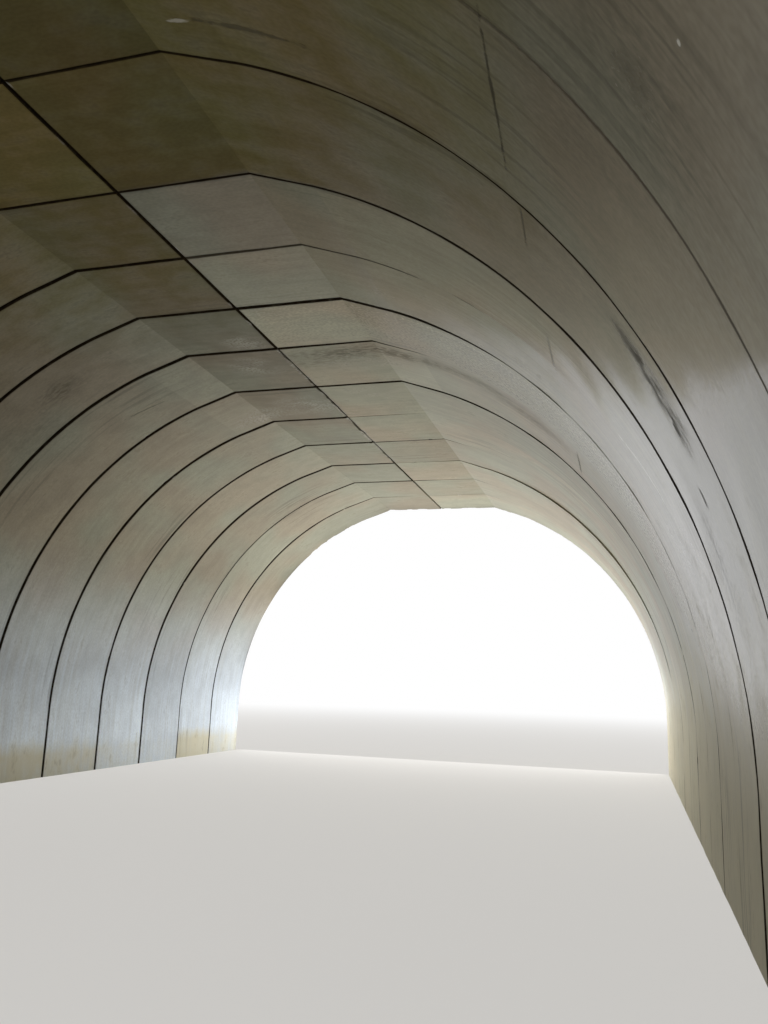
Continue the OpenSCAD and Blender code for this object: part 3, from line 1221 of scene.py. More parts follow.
@dataclass
class RingLeaf:
    """One cast leaf of a ring: leg, arc, shoulder and flat crown with its half of the hinge."""

    number: int
    side: Side
    start: float
    end: float
    profile: BarrelProfile
    start_joint: JointLook
    end_joint: JointLook
    tone: LeafTone
    chips: list[Chip]
    lip: float
    soot: tuple[Blob, ...]
    chalk: tuple[Blob, ...]
    row_step: float = 0.15
    pocket_radius: float = 0.070
    pocket_angles: tuple[float, float] = (math.radians(18), math.radians(54))
    pocket_edge: float = 0.400
    outer_chamfer: float = 0.010
    seam_at: float = 6.0
    edge_steps: tuple[float, ...] = (0.0, 0.010, 0.026, 0.055, 0.110)
    pocket_steps: tuple[float, ...] = (0.030, 0.054, 0.066, 0.070, 0.077, 0.112)
    chip_steps: tuple[float, ...] = (-1.04, -0.8, -0.5, -0.2, 0.1, 0.4, 0.7, 1.0)
    ripple_height: float = 0.0022
    ripple_length: float = 1.1
    outer_unevenness: float = 0.0015
    seam_height: float = 0.002
    seam_width: float = 0.05
    step_width: float = 0.012

    @property
    def name(self) -> str:
        """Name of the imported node."""
        return f"ring_{self.number:02d}_{self.side.value}_leaf"

    @property
    def outer_stretch(self) -> float:
        """How much longer the arc is on the outer face than on the soffit."""
        return (self.profile.radius + self.profile.shell) / self.profile.radius

    def pockets(self) -> list[tuple[float, float]]:
        """Places of the lifting pockets, as s and y."""
        heights = [self.profile.leg + self.profile.radius * a for a in self.pocket_angles]
        return [(s, y) for s in heights for y in (self.start + self.pocket_edge, self.end - self.pocket_edge)]

    def over_pocket(self) -> Array:
        """Steps of the outer face's points from one side of a pocket to the other."""
        return np.array([-x for x in self.pocket_steps[::-1]] + [0.0, *self.pocket_steps])

    def rows(self) -> Array:
        """Distances up the soffit at which the leaf has a loop of points.

        Returns:
            The ends of its parts, even steps between them, and closer steps over chips and pockets.
        """
        p = self.profile
        bounds = [0.0, p.leg, p.arc_end, p.fold_at, p.crown_at]
        sure = [np.array(bounds), p.crown_at - np.array([0.012, 0.03, 0.06, 0.11])]
        sure.append(np.array([p.arc_end, p.fold_at]) - self.step_width)
        steps = self.over_pocket() / self.outer_stretch
        sure += [s + steps for s in sorted({s for s, _ in self.pockets()})]
        sure = np.unique(np.round(np.concatenate(sure), 5))
        counts = [max(2, round((b - a) / self.row_step)) + 1 for a, b in zip(bounds, bounds[1:])]
        extra = [np.linspace(a, b, count) for a, b, count in zip(bounds, bounds[1:], counts)]
        bowl = np.array(self.chip_steps)
        extra += [c.place + c.half_length * bowl for c in self.chips if c.edge is not Edge.CROWN]
        extra = np.unique(np.concatenate(extra))
        extra = extra[(extra > 0.01) & (extra < p.crown_at - 0.01)]
        extra = extra[np.abs(extra[:, None] - sure[None, :]).min(1) > 0.012]
        kept = extra[np.diff(extra, prepend=-1) > 0.010]
        return np.sort(np.concatenate([sure, kept]))

    def soffit_columns(self, s: Array) -> Array:
        """Places the soffit's points along the barrel, with both edges following their joints.

        Args:
            s: Distances up the soffit of the loops.

        Returns:
            A row of places for each loop.
        """
        from_start = self.start + self.start_joint.set_back(s) + self.start_joint.chamfer(s)
        from_end = self.end - self.end_joint.set_back(s) - self.end_joint.chamfer(s)
        steps = np.array(self.edge_steps)
        inner = self.edge_steps[-1] + 0.11
        count = max(6, round((self.end - self.start - 2 * inner) / 0.13))
        middle = np.linspace(self.start + inner, self.end - inner, count)
        middle = np.broadcast_to(middle, (len(s), count))
        return np.concatenate([from_start[:, None] + steps, middle, from_end[:, None] - steps[::-1]], 1)

    def outer_columns(self) -> Array:
        """Places the outer face's points along the barrel.

        Returns:
            The places, closer together over the lifting pockets.
        """
        steps = self.over_pocket()
        first, second = self.start + self.pocket_edge, self.end - self.pocket_edge
        lead = np.array([self.outer_chamfer, 0.05, 0.16])
        reach = self.pocket_steps[-1]
        gap = second - first - 2 * reach
        middle = first + reach + gap * np.linspace(0, 1, max(3, round(gap / 0.2)) + 1)[1:-1]
        near_end = (self.end - lead)[::-1]
        return np.concatenate([self.start + lead, first + steps, middle, second + steps, near_end])

    def levels(self) -> Array:
        """Places the joint faces' points through the concrete.

        Returns:
            Their depths, closer together over the hinge's circle.
        """
        p = self.profile
        if self.side is Side.LEFT:
            radius, chord = p.nose_radius, p.nose_radius - p.nose_reach
        else:
            radius = p.nose_radius + p.hinge_clearance
            chord = p.nose_radius - p.nose_reach + 2 * p.half_crown_gap
        turn = math.acos(chord / radius) * np.linspace(-1, 1, 7)
        return np.concatenate([[0.02], p.shell / 2 + radius * np.sin(turn), [p.shell - self.outer_chamfer]])

    def lip_at(self, s: Array) -> Array:
        """How far back the leaf stands: most in mid arc, and nothing at its foot and crown."""
        low, high = 1.5, self.profile.crown_at - 0.15
        return self.lip * np.sin(math.pi * np.clip((s - low) / (high - low), 0, 1)) ** 2

    def bites(self, s: Array, y: Array) -> tuple[Array, Array]:
        """Works out what the chips take off the soffit.

        Args:
            s: Distances up the soffit of the loops.
            y: Places along the barrel of each loop's points.

        Returns:
            Depth and share of the chips at each point.
        """
        depth, share = np.zeros(y.shape), np.zeros(y.shape)
        rough = Ripple(self.number * 7 + 5, 0.07).at(y, s[:, None]) * 0.35 + 1
        for chip in self.chips:
            if chip.edge is Edge.START:
                bite = chip.bite(s[:, None], y - y[:, :1])
            elif chip.edge is Edge.END:
                bite = chip.bite(s[:, None], y[:, -1:] - y)
            else:
                bite = chip.bite(y, self.profile.crown_at - s[:, None])
            depth = np.maximum(depth, bite * chip.depth * rough)
            share = np.maximum(share, np.clip(bite * 2.5, 0, 1))
        return depth, share

    def with_pockets(self, s: Array, y: Array, n: Array) -> tuple[Array, Array, Array]:
        """Turns the square patches of the outer face's grid into round pockets.

        Args:
            s: Distances up the soffit of the outer points.
            y: Places along the barrel of the outer points.
            n: Depths of the outer points.

        Returns:
            The same three, where each square ring of a patch has become a circle, and the circles inside the
            rim lie on a ball of the pocket's radius.
        """
        k = self.outer_stretch
        for s_at, y_at in self.pockets():
            u, v = y - y_at, (s - s_at) * k
            reach = np.maximum(np.abs(u), np.abs(v))
            inside = (reach < self.pocket_steps[-2] + 0.001) & (reach > 1e-6)
            wide = np.abs(u) >= np.abs(v)
            ratio = np.where(wide, v / np.where(u == 0, 1, u), u / np.where(v == 0, 1, v))
            turn = math.pi / 4 * ratio
            r = np.where(wide, u, v)
            long, short = r * np.cos(turn), r * np.sin(turn)
            y = np.where(inside, y_at + np.where(wide, long, short), y)
            s = np.where(inside, s_at + np.where(wide, short, long) / k, s)
            radius = self.pocket_radius
            sunk = np.sqrt(np.clip(radius**2 - np.minimum(reach, radius) ** 2, 0, None))
            n = np.where(reach < radius, n - sunk, n)
        return s, y, n

    def film_and_shade(self, s: Array, y: Array) -> Array:
        """Works out the dark film: partly a stain, and partly painted shade high on the vault near the open
        end, where little light reaches.

        Args:
            s: Distances up the soffit.
            y: Places along the barrel.

        Returns:
            Its strength: full in the near rings, less further in, and little on low walls.
        """
        if self.side is Side.LEFT:
            low, at = 2.0, [-6.10, -5.95, -4.0, -2.0, 0.0, 3.0, 7.0]
            along = np.interp(y, at, [1.0, 0.90, 0.86, 0.68, 0.50, 0.22, 0.04])
        else:
            low, at = 2.6, [-9.7, -7.9, -6.10, -5.95, -4.4, -2.9, 1.0]
            along = np.interp(y, at, [1.0, 0.96, 0.80, 0.38, 0.22, 0.06, 0.0])
            on_top = np.interp(y, [-6.10, -5.95], [1.0, 0.0])
            along = along + on_top * (1 - along) * np.clip((s - 8.0) / 1.5, 0, 1)
        # Painted shade as well as stain: the film grows up the wall towards the vault
        rising = smooth(np.clip((s - low) / 4.0, 0, 1))
        return along * (0.86 * rising + 0.14 * np.clip((s - 6.0) / 4.5, 0, 1))

    def foot_damp_and_light(self, s: Array, y: Array) -> Array:
        """Tone up the wall by height and place along the barrel: partly damp, and partly painted light and
        shade.

        Args:
            s: Distances up the soffit.
            y: Places along the barrel.

        Returns:
            1 for plain concrete. On the left the foot is paled with painted light from the floor, and towards
            the portal the haunch is dull. On the right the near rings have a dark damp foot with a band of
            painted shade over it, the others a foot paled with painted light from the floor.
        """
        if self.side is Side.LEFT:
            # Painted light: the foot of the wall is paled where light from the floor falls on it
            painted_floor_light = 0.34 * np.clip((2.2 - s) / 1.4, 0, 1)
            dull_haunch = 0.14 * hump(s, 5.0, 1.3) * np.interp(y, [1.0, 4.0], [0.0, 1.0])
            return np.interp(y, [2.0, 11.0], [0.98, 0.84]) * (1 + painted_floor_light - dull_haunch)
        damp = 0.58 * np.clip((2.7 - s) / 2.0, 0, 1) * np.clip((-1.0 - y) / 4.0, 0, 1)
        # Painted light from the floor on the foot of the further rings
        painted_floor_light = hump(s, 1.9, 0.75) * np.interp(y, [-4.6, -3.2, 6.0], [0.0, 0.55, 0.40])
        # Painted shade: a darker band over the damp foot of the near rings
        painted_shade_band = hump(s, 3.1, 0.7) * np.interp(y, [-8.3, -6.6, -4.3, -3.2], [0.12, 0.36, 0.36, 0.0])
        return (1 - damp) * (1 + painted_floor_light - painted_shade_band)

    def stepped(self, s: Array) -> Array:
        """Tone of the shoulder and of the flat crown beside the arc's, with a crisp step at each fold: partly
        their own tone, and partly painted shade on the flats of the near right rings.
        """
        on_flat, on_shoulder = s > self.profile.fold_at - 1e-4, s > self.profile.arc_end - 1e-4
        return 1 + np.where(on_flat, self.tone.flat, np.where(on_shoulder, self.tone.shoulder, 0.0))

    def silted(self, s: Array) -> Array:
        """Strength of the silt: full at the foot, and reaching higher up the right wall than up the left."""
        full, none = (0.45, 0.95) if self.side is Side.LEFT else (1.6, 4.2)
        return self.tone.silt * np.clip((none - s) / (none - full), 0, 1)

    def polish(self, s: Array, y: Array) -> Array:
        """Works out how smooth the form left the face.

        Args:
            s: Distances up the soffit.
            y: Places along the barrel.

        Returns:
            1 for glossy, as in the near rings of the right side, down to 0 for satin.
        """
        if self.side is Side.LEFT:
            return np.zeros(y.shape)
        return np.interp(y, [-6.1, -3.5, 1.5], [1.0, 0.6, 0.0]) * np.clip((s - 0.8) / 1.6, 0.0, 1)

    def lined(self, s: Array, y: Array) -> Array:
        """Works out how strongly fine lines run round the arc.

        Args:
            s: Distances up the soffit.
            y: Places along the barrel.

        Returns:
            Their strength, greatest in the middle rings of the right side's arcs.
        """
        if self.side is Side.LEFT:
            return np.full(y.shape, 0.1)
        along = np.interp(y, [-6.1, -5.6, 3.0, 7.0], [0.1, 1.0, 1.0, 0.7])
        return along * np.interp(s, [6.5, 8.5], [1.0, 0.2])

    def cool_tint(self, s: Array, y: Array) -> Array:
        """Works out how strongly the wall is tinted cool and pale.

        Args:
            s: Distances up the soffit.
            y: Places along the barrel.

        Returns:
            The tinted share: low down, and more on the left.
        """
        low = smooth(np.clip((5.3 - s) / 3.6, 0, 1))
        if self.side is Side.LEFT:
            return low * np.interp(y, [-4.0, 4.0], [0.85, 1.0])
        return low * 0.5 * np.clip((s - 0.6) / 1.4, 0.15, 1)

    def build(self, materials: list[bpy.types.Material]) -> bpy.types.Object:
        """Makes the leaf as one closed surface.

        Args:
            materials: The soffit's finish and the outer face's finish.

        Returns:
            The piece. Each loop of points goes along the soffit, out through one joint face, back along the
            outer face and in through the other; the loops follow each other up the profile.
        """
        s = self.rows()
        up = s[:, None]
        y_in = self.soffit_columns(s)
        depth, share = self.bites(s, y_in)
        ripple = Ripple(self.number * 11 + (self.side is Side.LEFT), self.ripple_length)
        ripple = ripple.at(y_in, up) * self.ripple_height
        lip = self.lip_at(s)
        seam = hump(s, self.seam_at, self.seam_width) * self.seam_height
        n_in = lip[:, None] + ripple - seam[:, None] + depth
        levels = self.levels()
        faces = []
        at_end, at_start = (self.end_joint, -1, 1, self.end), (self.start_joint, 0, -1, self.start)
        for joint, column, sign, outer_edge in (at_end, at_start):
            edge = y_in[:, column] + sign * joint.chamfer(s)
            n_face = np.broadcast_to(levels, (len(s), len(levels))).copy()
            n_face[:, 0] = joint.chamfer(s) + lip + ripple[:, column] + depth[:, column] * 0.9
            y_face = edge[:, None] + (outer_edge - edge)[:, None] * np.clip((levels - 0.12) / 0.18, 0, 1)
            faces.append((y_face, n_face))
        (y_end, n_end), (y_start, n_start) = faces
        outer = self.outer_columns()[::-1]
        y_out = np.broadcast_to(outer, (len(s), len(outer)))
        uneven = Ripple(self.number * 3 + 1, 0.8).at(y_out, up) * self.outer_unevenness
        n_out = self.profile.shell - self.outer_unevenness + uneven
        s_out, y_out, n_out = self.with_pockets(np.broadcast_to(up, y_out.shape), y_out, n_out)
        y = np.concatenate([y_in, y_end, y_out, y_start[:, ::-1]], 1)
        n = np.concatenate([n_in, n_end, n_out, n_start[:, ::-1]], 1)
        parts = LoopParts(y_in.shape[1], len(levels), len(outer))
        s_all = np.broadcast_to(up, y.shape).copy()
        s_all[:, parts.outer_start : parts.outer_end] = s_out
        x, z = self.profile.at(s_all, n, self.side)
        skin = Skin(
            points=np.stack([x, y, z], -1),
            uv=self.mapped(s_all, y, n, parts),
            layers=parts.on_outer().astype(int),
            crease_rows=[int(np.abs(s - v).argmin()) for v in (self.profile.arc_end, self.profile.fold_at)],
            crease_columns=parts.creases(),
            caps=self.caps(len(s), parts),
            cap_uv=np.stack([y + MAP_SHIFT[self.side], s_all + n], -1),
            values=self.wear(s_all, y, share, parts),
        )
        return piece_from(f"{self.name}_cast", [skin], materials)

    def mapped(self, s: Array, y: Array, n: Array, parts: LoopParts) -> Array:
        """The surface's own map, unrolled round the loop.

        Args:
            s: Distances up the soffit.
            y: Places along the barrel.
            n: Depths into the concrete.
            parts: The parts of the loop.

        Returns:
            For each face of the tube the map at its first and second column: u is the distance along the
            barrel, carried on through the joint faces, and v the distance up the soffit.
        """
        uv, deep = tube_map(y, s), tube_map(n, s)[..., 0]
        column = np.arange(parts.loop)
        through_end = (column >= parts.soffit - 1) & (column < parts.outer_start)
        through_start = column >= parts.outer_end - 1
        shift = MAP_SHIFT[self.side] + np.where(parts.on_outer(), EARTH_SHIFT, 0.0)
        u = uv[..., 0] + np.where(through_end[:, None], deep, 0) - np.where(through_start[:, None], deep, 0)
        uv[..., 0] = u + shift[:, None]
        return uv

    def caps(self, rows: int, parts: LoopParts) -> list[list[int]]:
        """Closes the leaf's two ends.

        Args:
            rows: Number of loops.
            parts: The parts of the loop.

        Returns:
            Faces over the base and over the crown face, which follow the hinge's circle in strips.
        """
        last = (rows - 1) * parts.loop
        end = [last + parts.soffit + k for k in range(parts.face)]
        start = [last + parts.loop - 1 - k for k in range(parts.face)]
        strips = [[end[k], end[k + 1], start[k + 1], start[k]] for k in range(parts.face - 1)]
        inner = [*range(last, last + parts.soffit), end[0], start[0]]
        outer = [end[-1], *range(last + parts.outer_start, last + parts.outer_end), start[-1]]
        return [list(range(parts.loop - 1, -1, -1)), inner, *strips, outer]

    def grime_and_shade(self, s: Array, y_in: Array, parts: LoopParts) -> Array:
        """Grime of the joints, with painted shade in the open slots: along the soffit's edges and through the
        joint faces.

        Args:
            s: Distances up the soffit.
            y_in: Places along the barrel of the soffit's points.
            parts: The parts of the loop.

        Returns:
            The strength at each point: openness * exp(-distance from the edge / spread) on the soffit.
        """
        up = s[:, :1]
        open_start, open_end = self.start_joint.openness(up), self.end_joint.openness(up)
        by_start = open_start * np.exp(-(y_in - y_in[:, :1]) / self.start_joint.spread(up))
        by_end = open_end * np.exp(-(y_in[:, -1:] - y_in) / self.end_joint.spread(up))
        strength = np.interp(self.number, [6, 7, 10], [1.0, 0.62, 0.62])
        at_crown = strength * np.exp(-(self.profile.crown_at - up) / 0.006)
        grime_and_shade = np.zeros((len(s), parts.loop))
        # Painted shade with the grime: the soffit darkens towards each open joint and along the crown joint
        grime_and_shade[:, : parts.soffit] = np.maximum(np.maximum(by_start, by_end), at_crown)
        # The joint faces inside the slot are darkened as painted shade
        grime_and_shade[:, parts.soffit : parts.outer_start] = np.clip(open_end * 2, 0.12, 1.0)
        grime_and_shade[:, parts.outer_end :] = np.clip(open_start * 2, 0.12, 1.0)
        grime_and_shade[:, parts.soffit], grime_and_shade[:, -1] = open_end[:, 0], open_start[:, 0]
        return grime_and_shade

    def wear(self, s: Array, y: Array, share: Array, parts: LoopParts) -> dict[str, Array]:
        """Works out the values that the finishes read at the points.

        Args:
            s: Distances up the soffit.
            y: Places along the barrel.
            share: The chips' share at the soffit's points.
            parts: The parts of the loop.

        Returns:
            Named arrays: the leaf's seed and tone, which carries painted light and shade, lines, polish, the
                film with its
            painted shade, the cool tint, silt, streaks, soot, fresh breaks with chalk, and the grime and
            painted shade of the joints.
        """
        blank = np.zeros(y.shape)
        y_in = y[:, : parts.soffit]
        near, chip = blank.copy(), blank.copy()
        near[:, : parts.soffit] = np.maximum(
            np.exp(-(y_in - y_in[:, :1]) / 0.12), np.exp(-(y_in[:, -1:] - y_in) / 0.10)
        )
        chip[:, : parts.soffit] = share
        seed = self.number + 20.0 * (self.side is Side.LEFT)
        chalk = sum((b.at(s, y) for b in self.chalk), blank)
        return {
            "seed": np.full(y.shape, seed),
            # The tone carries painted light and shade: the paled foot, the shaded band and the darkened flats
            "tone": self.tone.whole * self.foot_damp_and_light(s, y) * self.stepped(s),
            "lined": self.lined(s, y),
            "polish": self.polish(s, y),
            "film_and_shade": self.film_and_shade(s, y),
            "cool_tint": self.cool_tint(s, y),
            "silt": self.silted(s),
            "streak": np.clip(Ripple(int(seed) * 5 + 2, 2.5, stretch=2.0).at(y, s) * 0.7 + near * 0.5, 0, 1),
            "soot": sum((b.at(s, y) for b in self.soot), blank),
            "fresh": np.maximum(chip, 0.65 * chalk),
            # Joint grime, with painted shade in the open slots and along their edges
            "grime_and_shade": self.grime_and_shade(s, y_in, parts),
        }


@dataclass
class Barrel:
    """The thirteen rings of the barrel."""

    profile: BarrelProfile
    materials: list[bpy.types.Material]
    count: int = 13
    seed: int = 41
    end_width: float = 31.1
    tone_spread: float = 0.05
    panel_spread: float = 0.02
    portal_chips: int = 14
    crown_chips: int = 7
    chipped_crowns: tuple[int, int] = (7, 10)

    def joint(self, number: int, side: Side) -> JointLook:
        """Looks up the joint after a ring.

        Args:
            number: The ring's number, or 0 for the open end.
            side: The side of the barrel.

        Returns:
            Its look. The barrel's two ends are sharp and at their nominal place.
        """
        if number in (0, self.count):
            return JointLook((self.end_width,) * 5, at_end=True)
        look = LOOKS[side]
        return JointLook(look.joints[number - 1], smeared=look.smeared.get(number, 0.0))

    def tone(self, number: int, side: Side, rng: np.random.Generator) -> LeafTone:
        """Works out a leaf's tones.

        Args:
            number: The ring's number.
            side: The side of the barrel.
            rng: The leaf's random numbers.

        Returns:
            Tones of the leaf, its crown panel and its shoulder, each moved a little by the seed.
        """
        whole = 1.0 + rng.uniform(-self.tone_spread, self.tone_spread)
        flat, shoulder = LOOKS[side].panel_tones_and_shade[number - 1]
        flat += rng.uniform(-self.panel_spread, self.panel_spread)
        shoulder += rng.uniform(-self.panel_spread, self.panel_spread)
        return LeafTone(whole, flat, shoulder, LOOKS[side].silt[number - 1])

    def chips(self, number: int, low: float, high: float, rng: np.random.Generator) -> list[Chip]:
        """Seeded chips: a few on every edge, and many on the edge of the far portal.

        Args:
            number: The ring's number.
            low: Where the leaf starts along the barrel.
            high: Where it ends.
            rng: The leaf's random numbers.

        Returns:
            The chips, of which those on the crown are longer and flatter.
        """
        chips = []
        top, last = self.profile.crown_at, number == self.count
        first_chipped, last_chipped = self.chipped_crowns
        many = first_chipped <= number <= last_chipped
        few = int(number >= first_chipped)
        at_end, on_crown = self.portal_chips if last else few, self.crown_chips if many else 1
        for edge, count in ((Edge.START, few), (Edge.END, at_end), (Edge.CROWN, on_crown)):
            for _ in range(count):
                worn = edge is Edge.CROWN and many or last
                size = rng.uniform(0.5, 1.0) ** 2 if worn else rng.uniform(0.05, 0.3)
                place = rng.uniform(1.0, top - 0.1) if edge is not Edge.CROWN else 0.0
                if edge is Edge.END and last:
                    place = rng.uniform(6.0, top - 0.05)
                chips.append(Chip(edge, place, 0.03 + 0.10 * size, 0.02 + 0.05 * size, 0.006 + 0.016 * size))
        return [self.along_crown(c, rng.uniform(low, high)) if c.edge is Edge.CROWN else c for c in chips]

    def along_crown(self, chip: Chip, place: float) -> Chip:
        """A chip moved to its place on the crown's edge, longer and flatter."""
        return replace(chip, place=place, half_length=chip.half_length * 1.6, reach=chip.reach * 0.6)

    def build(self) -> None:
        """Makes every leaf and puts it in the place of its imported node."""
        for number in range(1, self.count + 1):
            for side in Side:
                rng = np.random.default_rng(self.seed + number * 10 + (side is Side.RIGHT))
                look = LOOKS[side]
                low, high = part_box(f"ring_{number:02d}_{side.value}_leaf")
                leaf = RingLeaf(
                    number, side, low.y, high.y, self.profile,
                    start_joint=self.joint(number - 1, side),
                    end_joint=self.joint(number, side),
                    chips=self.chips(number, low.y, high.y, rng),
                    tone=self.tone(number, side, rng),
                    lip=look.lips[number - 1] / 1000,
                    soot=look.soot,
                    chalk=look.chalk,
                )
                stand_in(leaf.build(self.materials), leaf.name)


# Wraps


@dataclass
class Wraps:
    """The sealing sheets over the ring joints and along the crown joint."""

    profile: BarrelProfile
    material: bpy.types.Material
    width: float = 0.30
    thickness: float = 0.006
    row_step: float = 0.12
    clearance: float = 0.0002
    rim_drop: float = 0.0025
    slack: float = 0.0012
    slack_below: float = 0.0014
    rim: float = 0.004
    edge_wave: float = 0.006
    ring_joints: int = 12
    band_seed: int = 300
    crown_seed: int = 700

    def wrinkles(self, seed: int, stretch: float, u: Array, v: Array) -> Array:
        """Unevenness of a sheet's top: a fine ripple about a little below its full thickness."""
        return Ripple(seed, 0.16, stretch=stretch).at(u, v) * self.slack - self.slack_below

    def band(self, node: str, seed: int) -> Skin:
        """One sheet right over the barrel, from toe to toe.

        Args:
            node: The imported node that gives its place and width.
            seed: Seed of its uneven edges and wrinkles.

        Returns:
            A tube whose loops go once round the sheet's thin section, carried along the outer face.
        """
        p = self.profile
        low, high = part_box(node)
        whole = p.fold_at + p.half_flat
        side_s = np.concatenate([np.arange(low.z, whole, self.row_step), [p.leg, p.arc_end, p.fold_at]])
        side_s = np.unique(side_s)
        s = np.concatenate([side_s, [whole], (2 * whole - side_s)[::-1]])
        up = s[:, None]
        steps = np.array([0.0, self.rim, 0.03, 0.09, 0.15, 0.21, 0.27, self.width - self.rim, self.width])
        wave = Ripple(seed, 0.5).at(np.array([0.0, 9.0])[None, :], up) * self.edge_wave
        edge = (np.array([1, -1]) * np.clip(self.rim + wave, 0, None)) + [low.y, high.y]
        share = steps / self.width
        y = edge[:, :1] * (1 - share) + edge[:, 1:] * share
        wrinkle = self.wrinkles(seed + 1, 0.5, y, up)
        at_rim = (steps == 0.0) | (steps == self.width)
        n_top = p.shell + self.thickness + np.minimum(wrinkle, 0) - self.rim_drop * at_rim
        n_low = np.full(y.shape, p.shell + self.clearance)
        y_all, n_all = np.concatenate([y, y[:, ::-1]], 1), np.concatenate([n_top, n_low], 1)
        fold_back = np.minimum(s, 2 * whole - s)[:, None]
        x, z = self.outside(np.broadcast_to(fold_back, y_all.shape), n_all)
        x = np.where(up > whole, -x, x)
        return self.sheet(x, y_all, z, y_all, np.broadcast_to(up, y_all.shape))

    def sheet(self, x: Array, y: Array, z: Array, u: Array, v: Array) -> Skin:
        """Closes a thin sheet.

        Args:
            x: Places across the barrel.
            y: Places along the barrel.
            z: Heights.
            u: The map's places along the barrel.
            v: The map's places up the surface.

        Returns:
            The skin, whose loops go over its top and back under it, creased at its four edges.
        """
        loop = x.shape[1]
        creases = [0, loop // 2 - 1, loop // 2, loop - 1]
        return Skin(np.stack([x, y, z], -1), tube_map(u, v), np.zeros(loop, int), crease_columns=creases)

    def outside(self, s: Array, n: Array) -> tuple[Array, Array]:
        """Places points outside the shell, where the crown has no joint to stop at.

        Args:
            s: Distances up the soffit.
            n: Depths from the soffit.

        Returns:
            X on the right side, and Z.
        """
        p = self.profile
        x, z = p.at(np.minimum(s, p.fold_at - 1e-6), n, Side.RIGHT)
        over = s >= p.fold_at
        fold_x = p.half_flat + n * math.tan(p.fold / 2)
        share = (s - p.fold_at) / p.half_flat
        return np.where(over, fold_x * (1 - share), x), np.where(over, p.rise + n, z)

    def crown_lengths(self, node: str) -> list[Skin]:
        """Makes the sheets along the crown joint.

        Args:
            node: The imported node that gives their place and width.

        Returns:
            One skin between each pair of ring wraps.
        """
        low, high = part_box(node)
        ends = [low.y]
        for i in range(1, self.ring_joints + 1):
            near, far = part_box(f"joint_wrap_{i:02d}")
            ends += [near.y, far.y]
        ends.append(high.y)
        skins = []
        for k, (start, end) in enumerate(zip(ends[::2], ends[1::2])):
            y = np.linspace(start, end, max(4, round((end - start) / self.row_step)) + 1)
            x = np.array([low.x, low.x + self.rim, -0.11, -0.05, 0.0, 0.05, 0.11, high.x - self.rim, high.x])
            wrinkle = np.minimum(self.wrinkles(self.crown_seed + k, 1.0, x[None, :], y[:, None]), 0)
            at_rim = (x == low.x) | (x == high.x)
            top = high.z + wrinkle - self.rim_drop * at_rim
            x_all = np.broadcast_to(np.concatenate([x, x[::-1]]), (len(y), 2 * len(x)))
            z_all = np.concatenate([top, np.full(top.shape, low.z + self.clearance)], 1)
            y_all = np.broadcast_to(y[:, None], x_all.shape)
            skins.append(self.sheet(x_all, y_all, z_all, x_all, y_all))
        return skins

    def build(self) -> None:
        """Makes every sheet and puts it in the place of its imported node."""
        sheets = {}
        for i in range(1, self.ring_joints + 1):
            node = f"joint_wrap_{i:02d}"
            sheets[node] = [self.band(node, self.band_seed + i)]
        sheets["crown_wrap"] = self.crown_lengths("crown_wrap")
        for node, skins in sheets.items():
            stand_in(piece_from(f"{node}_sheet", skins, [self.material]), node)


# Headwall


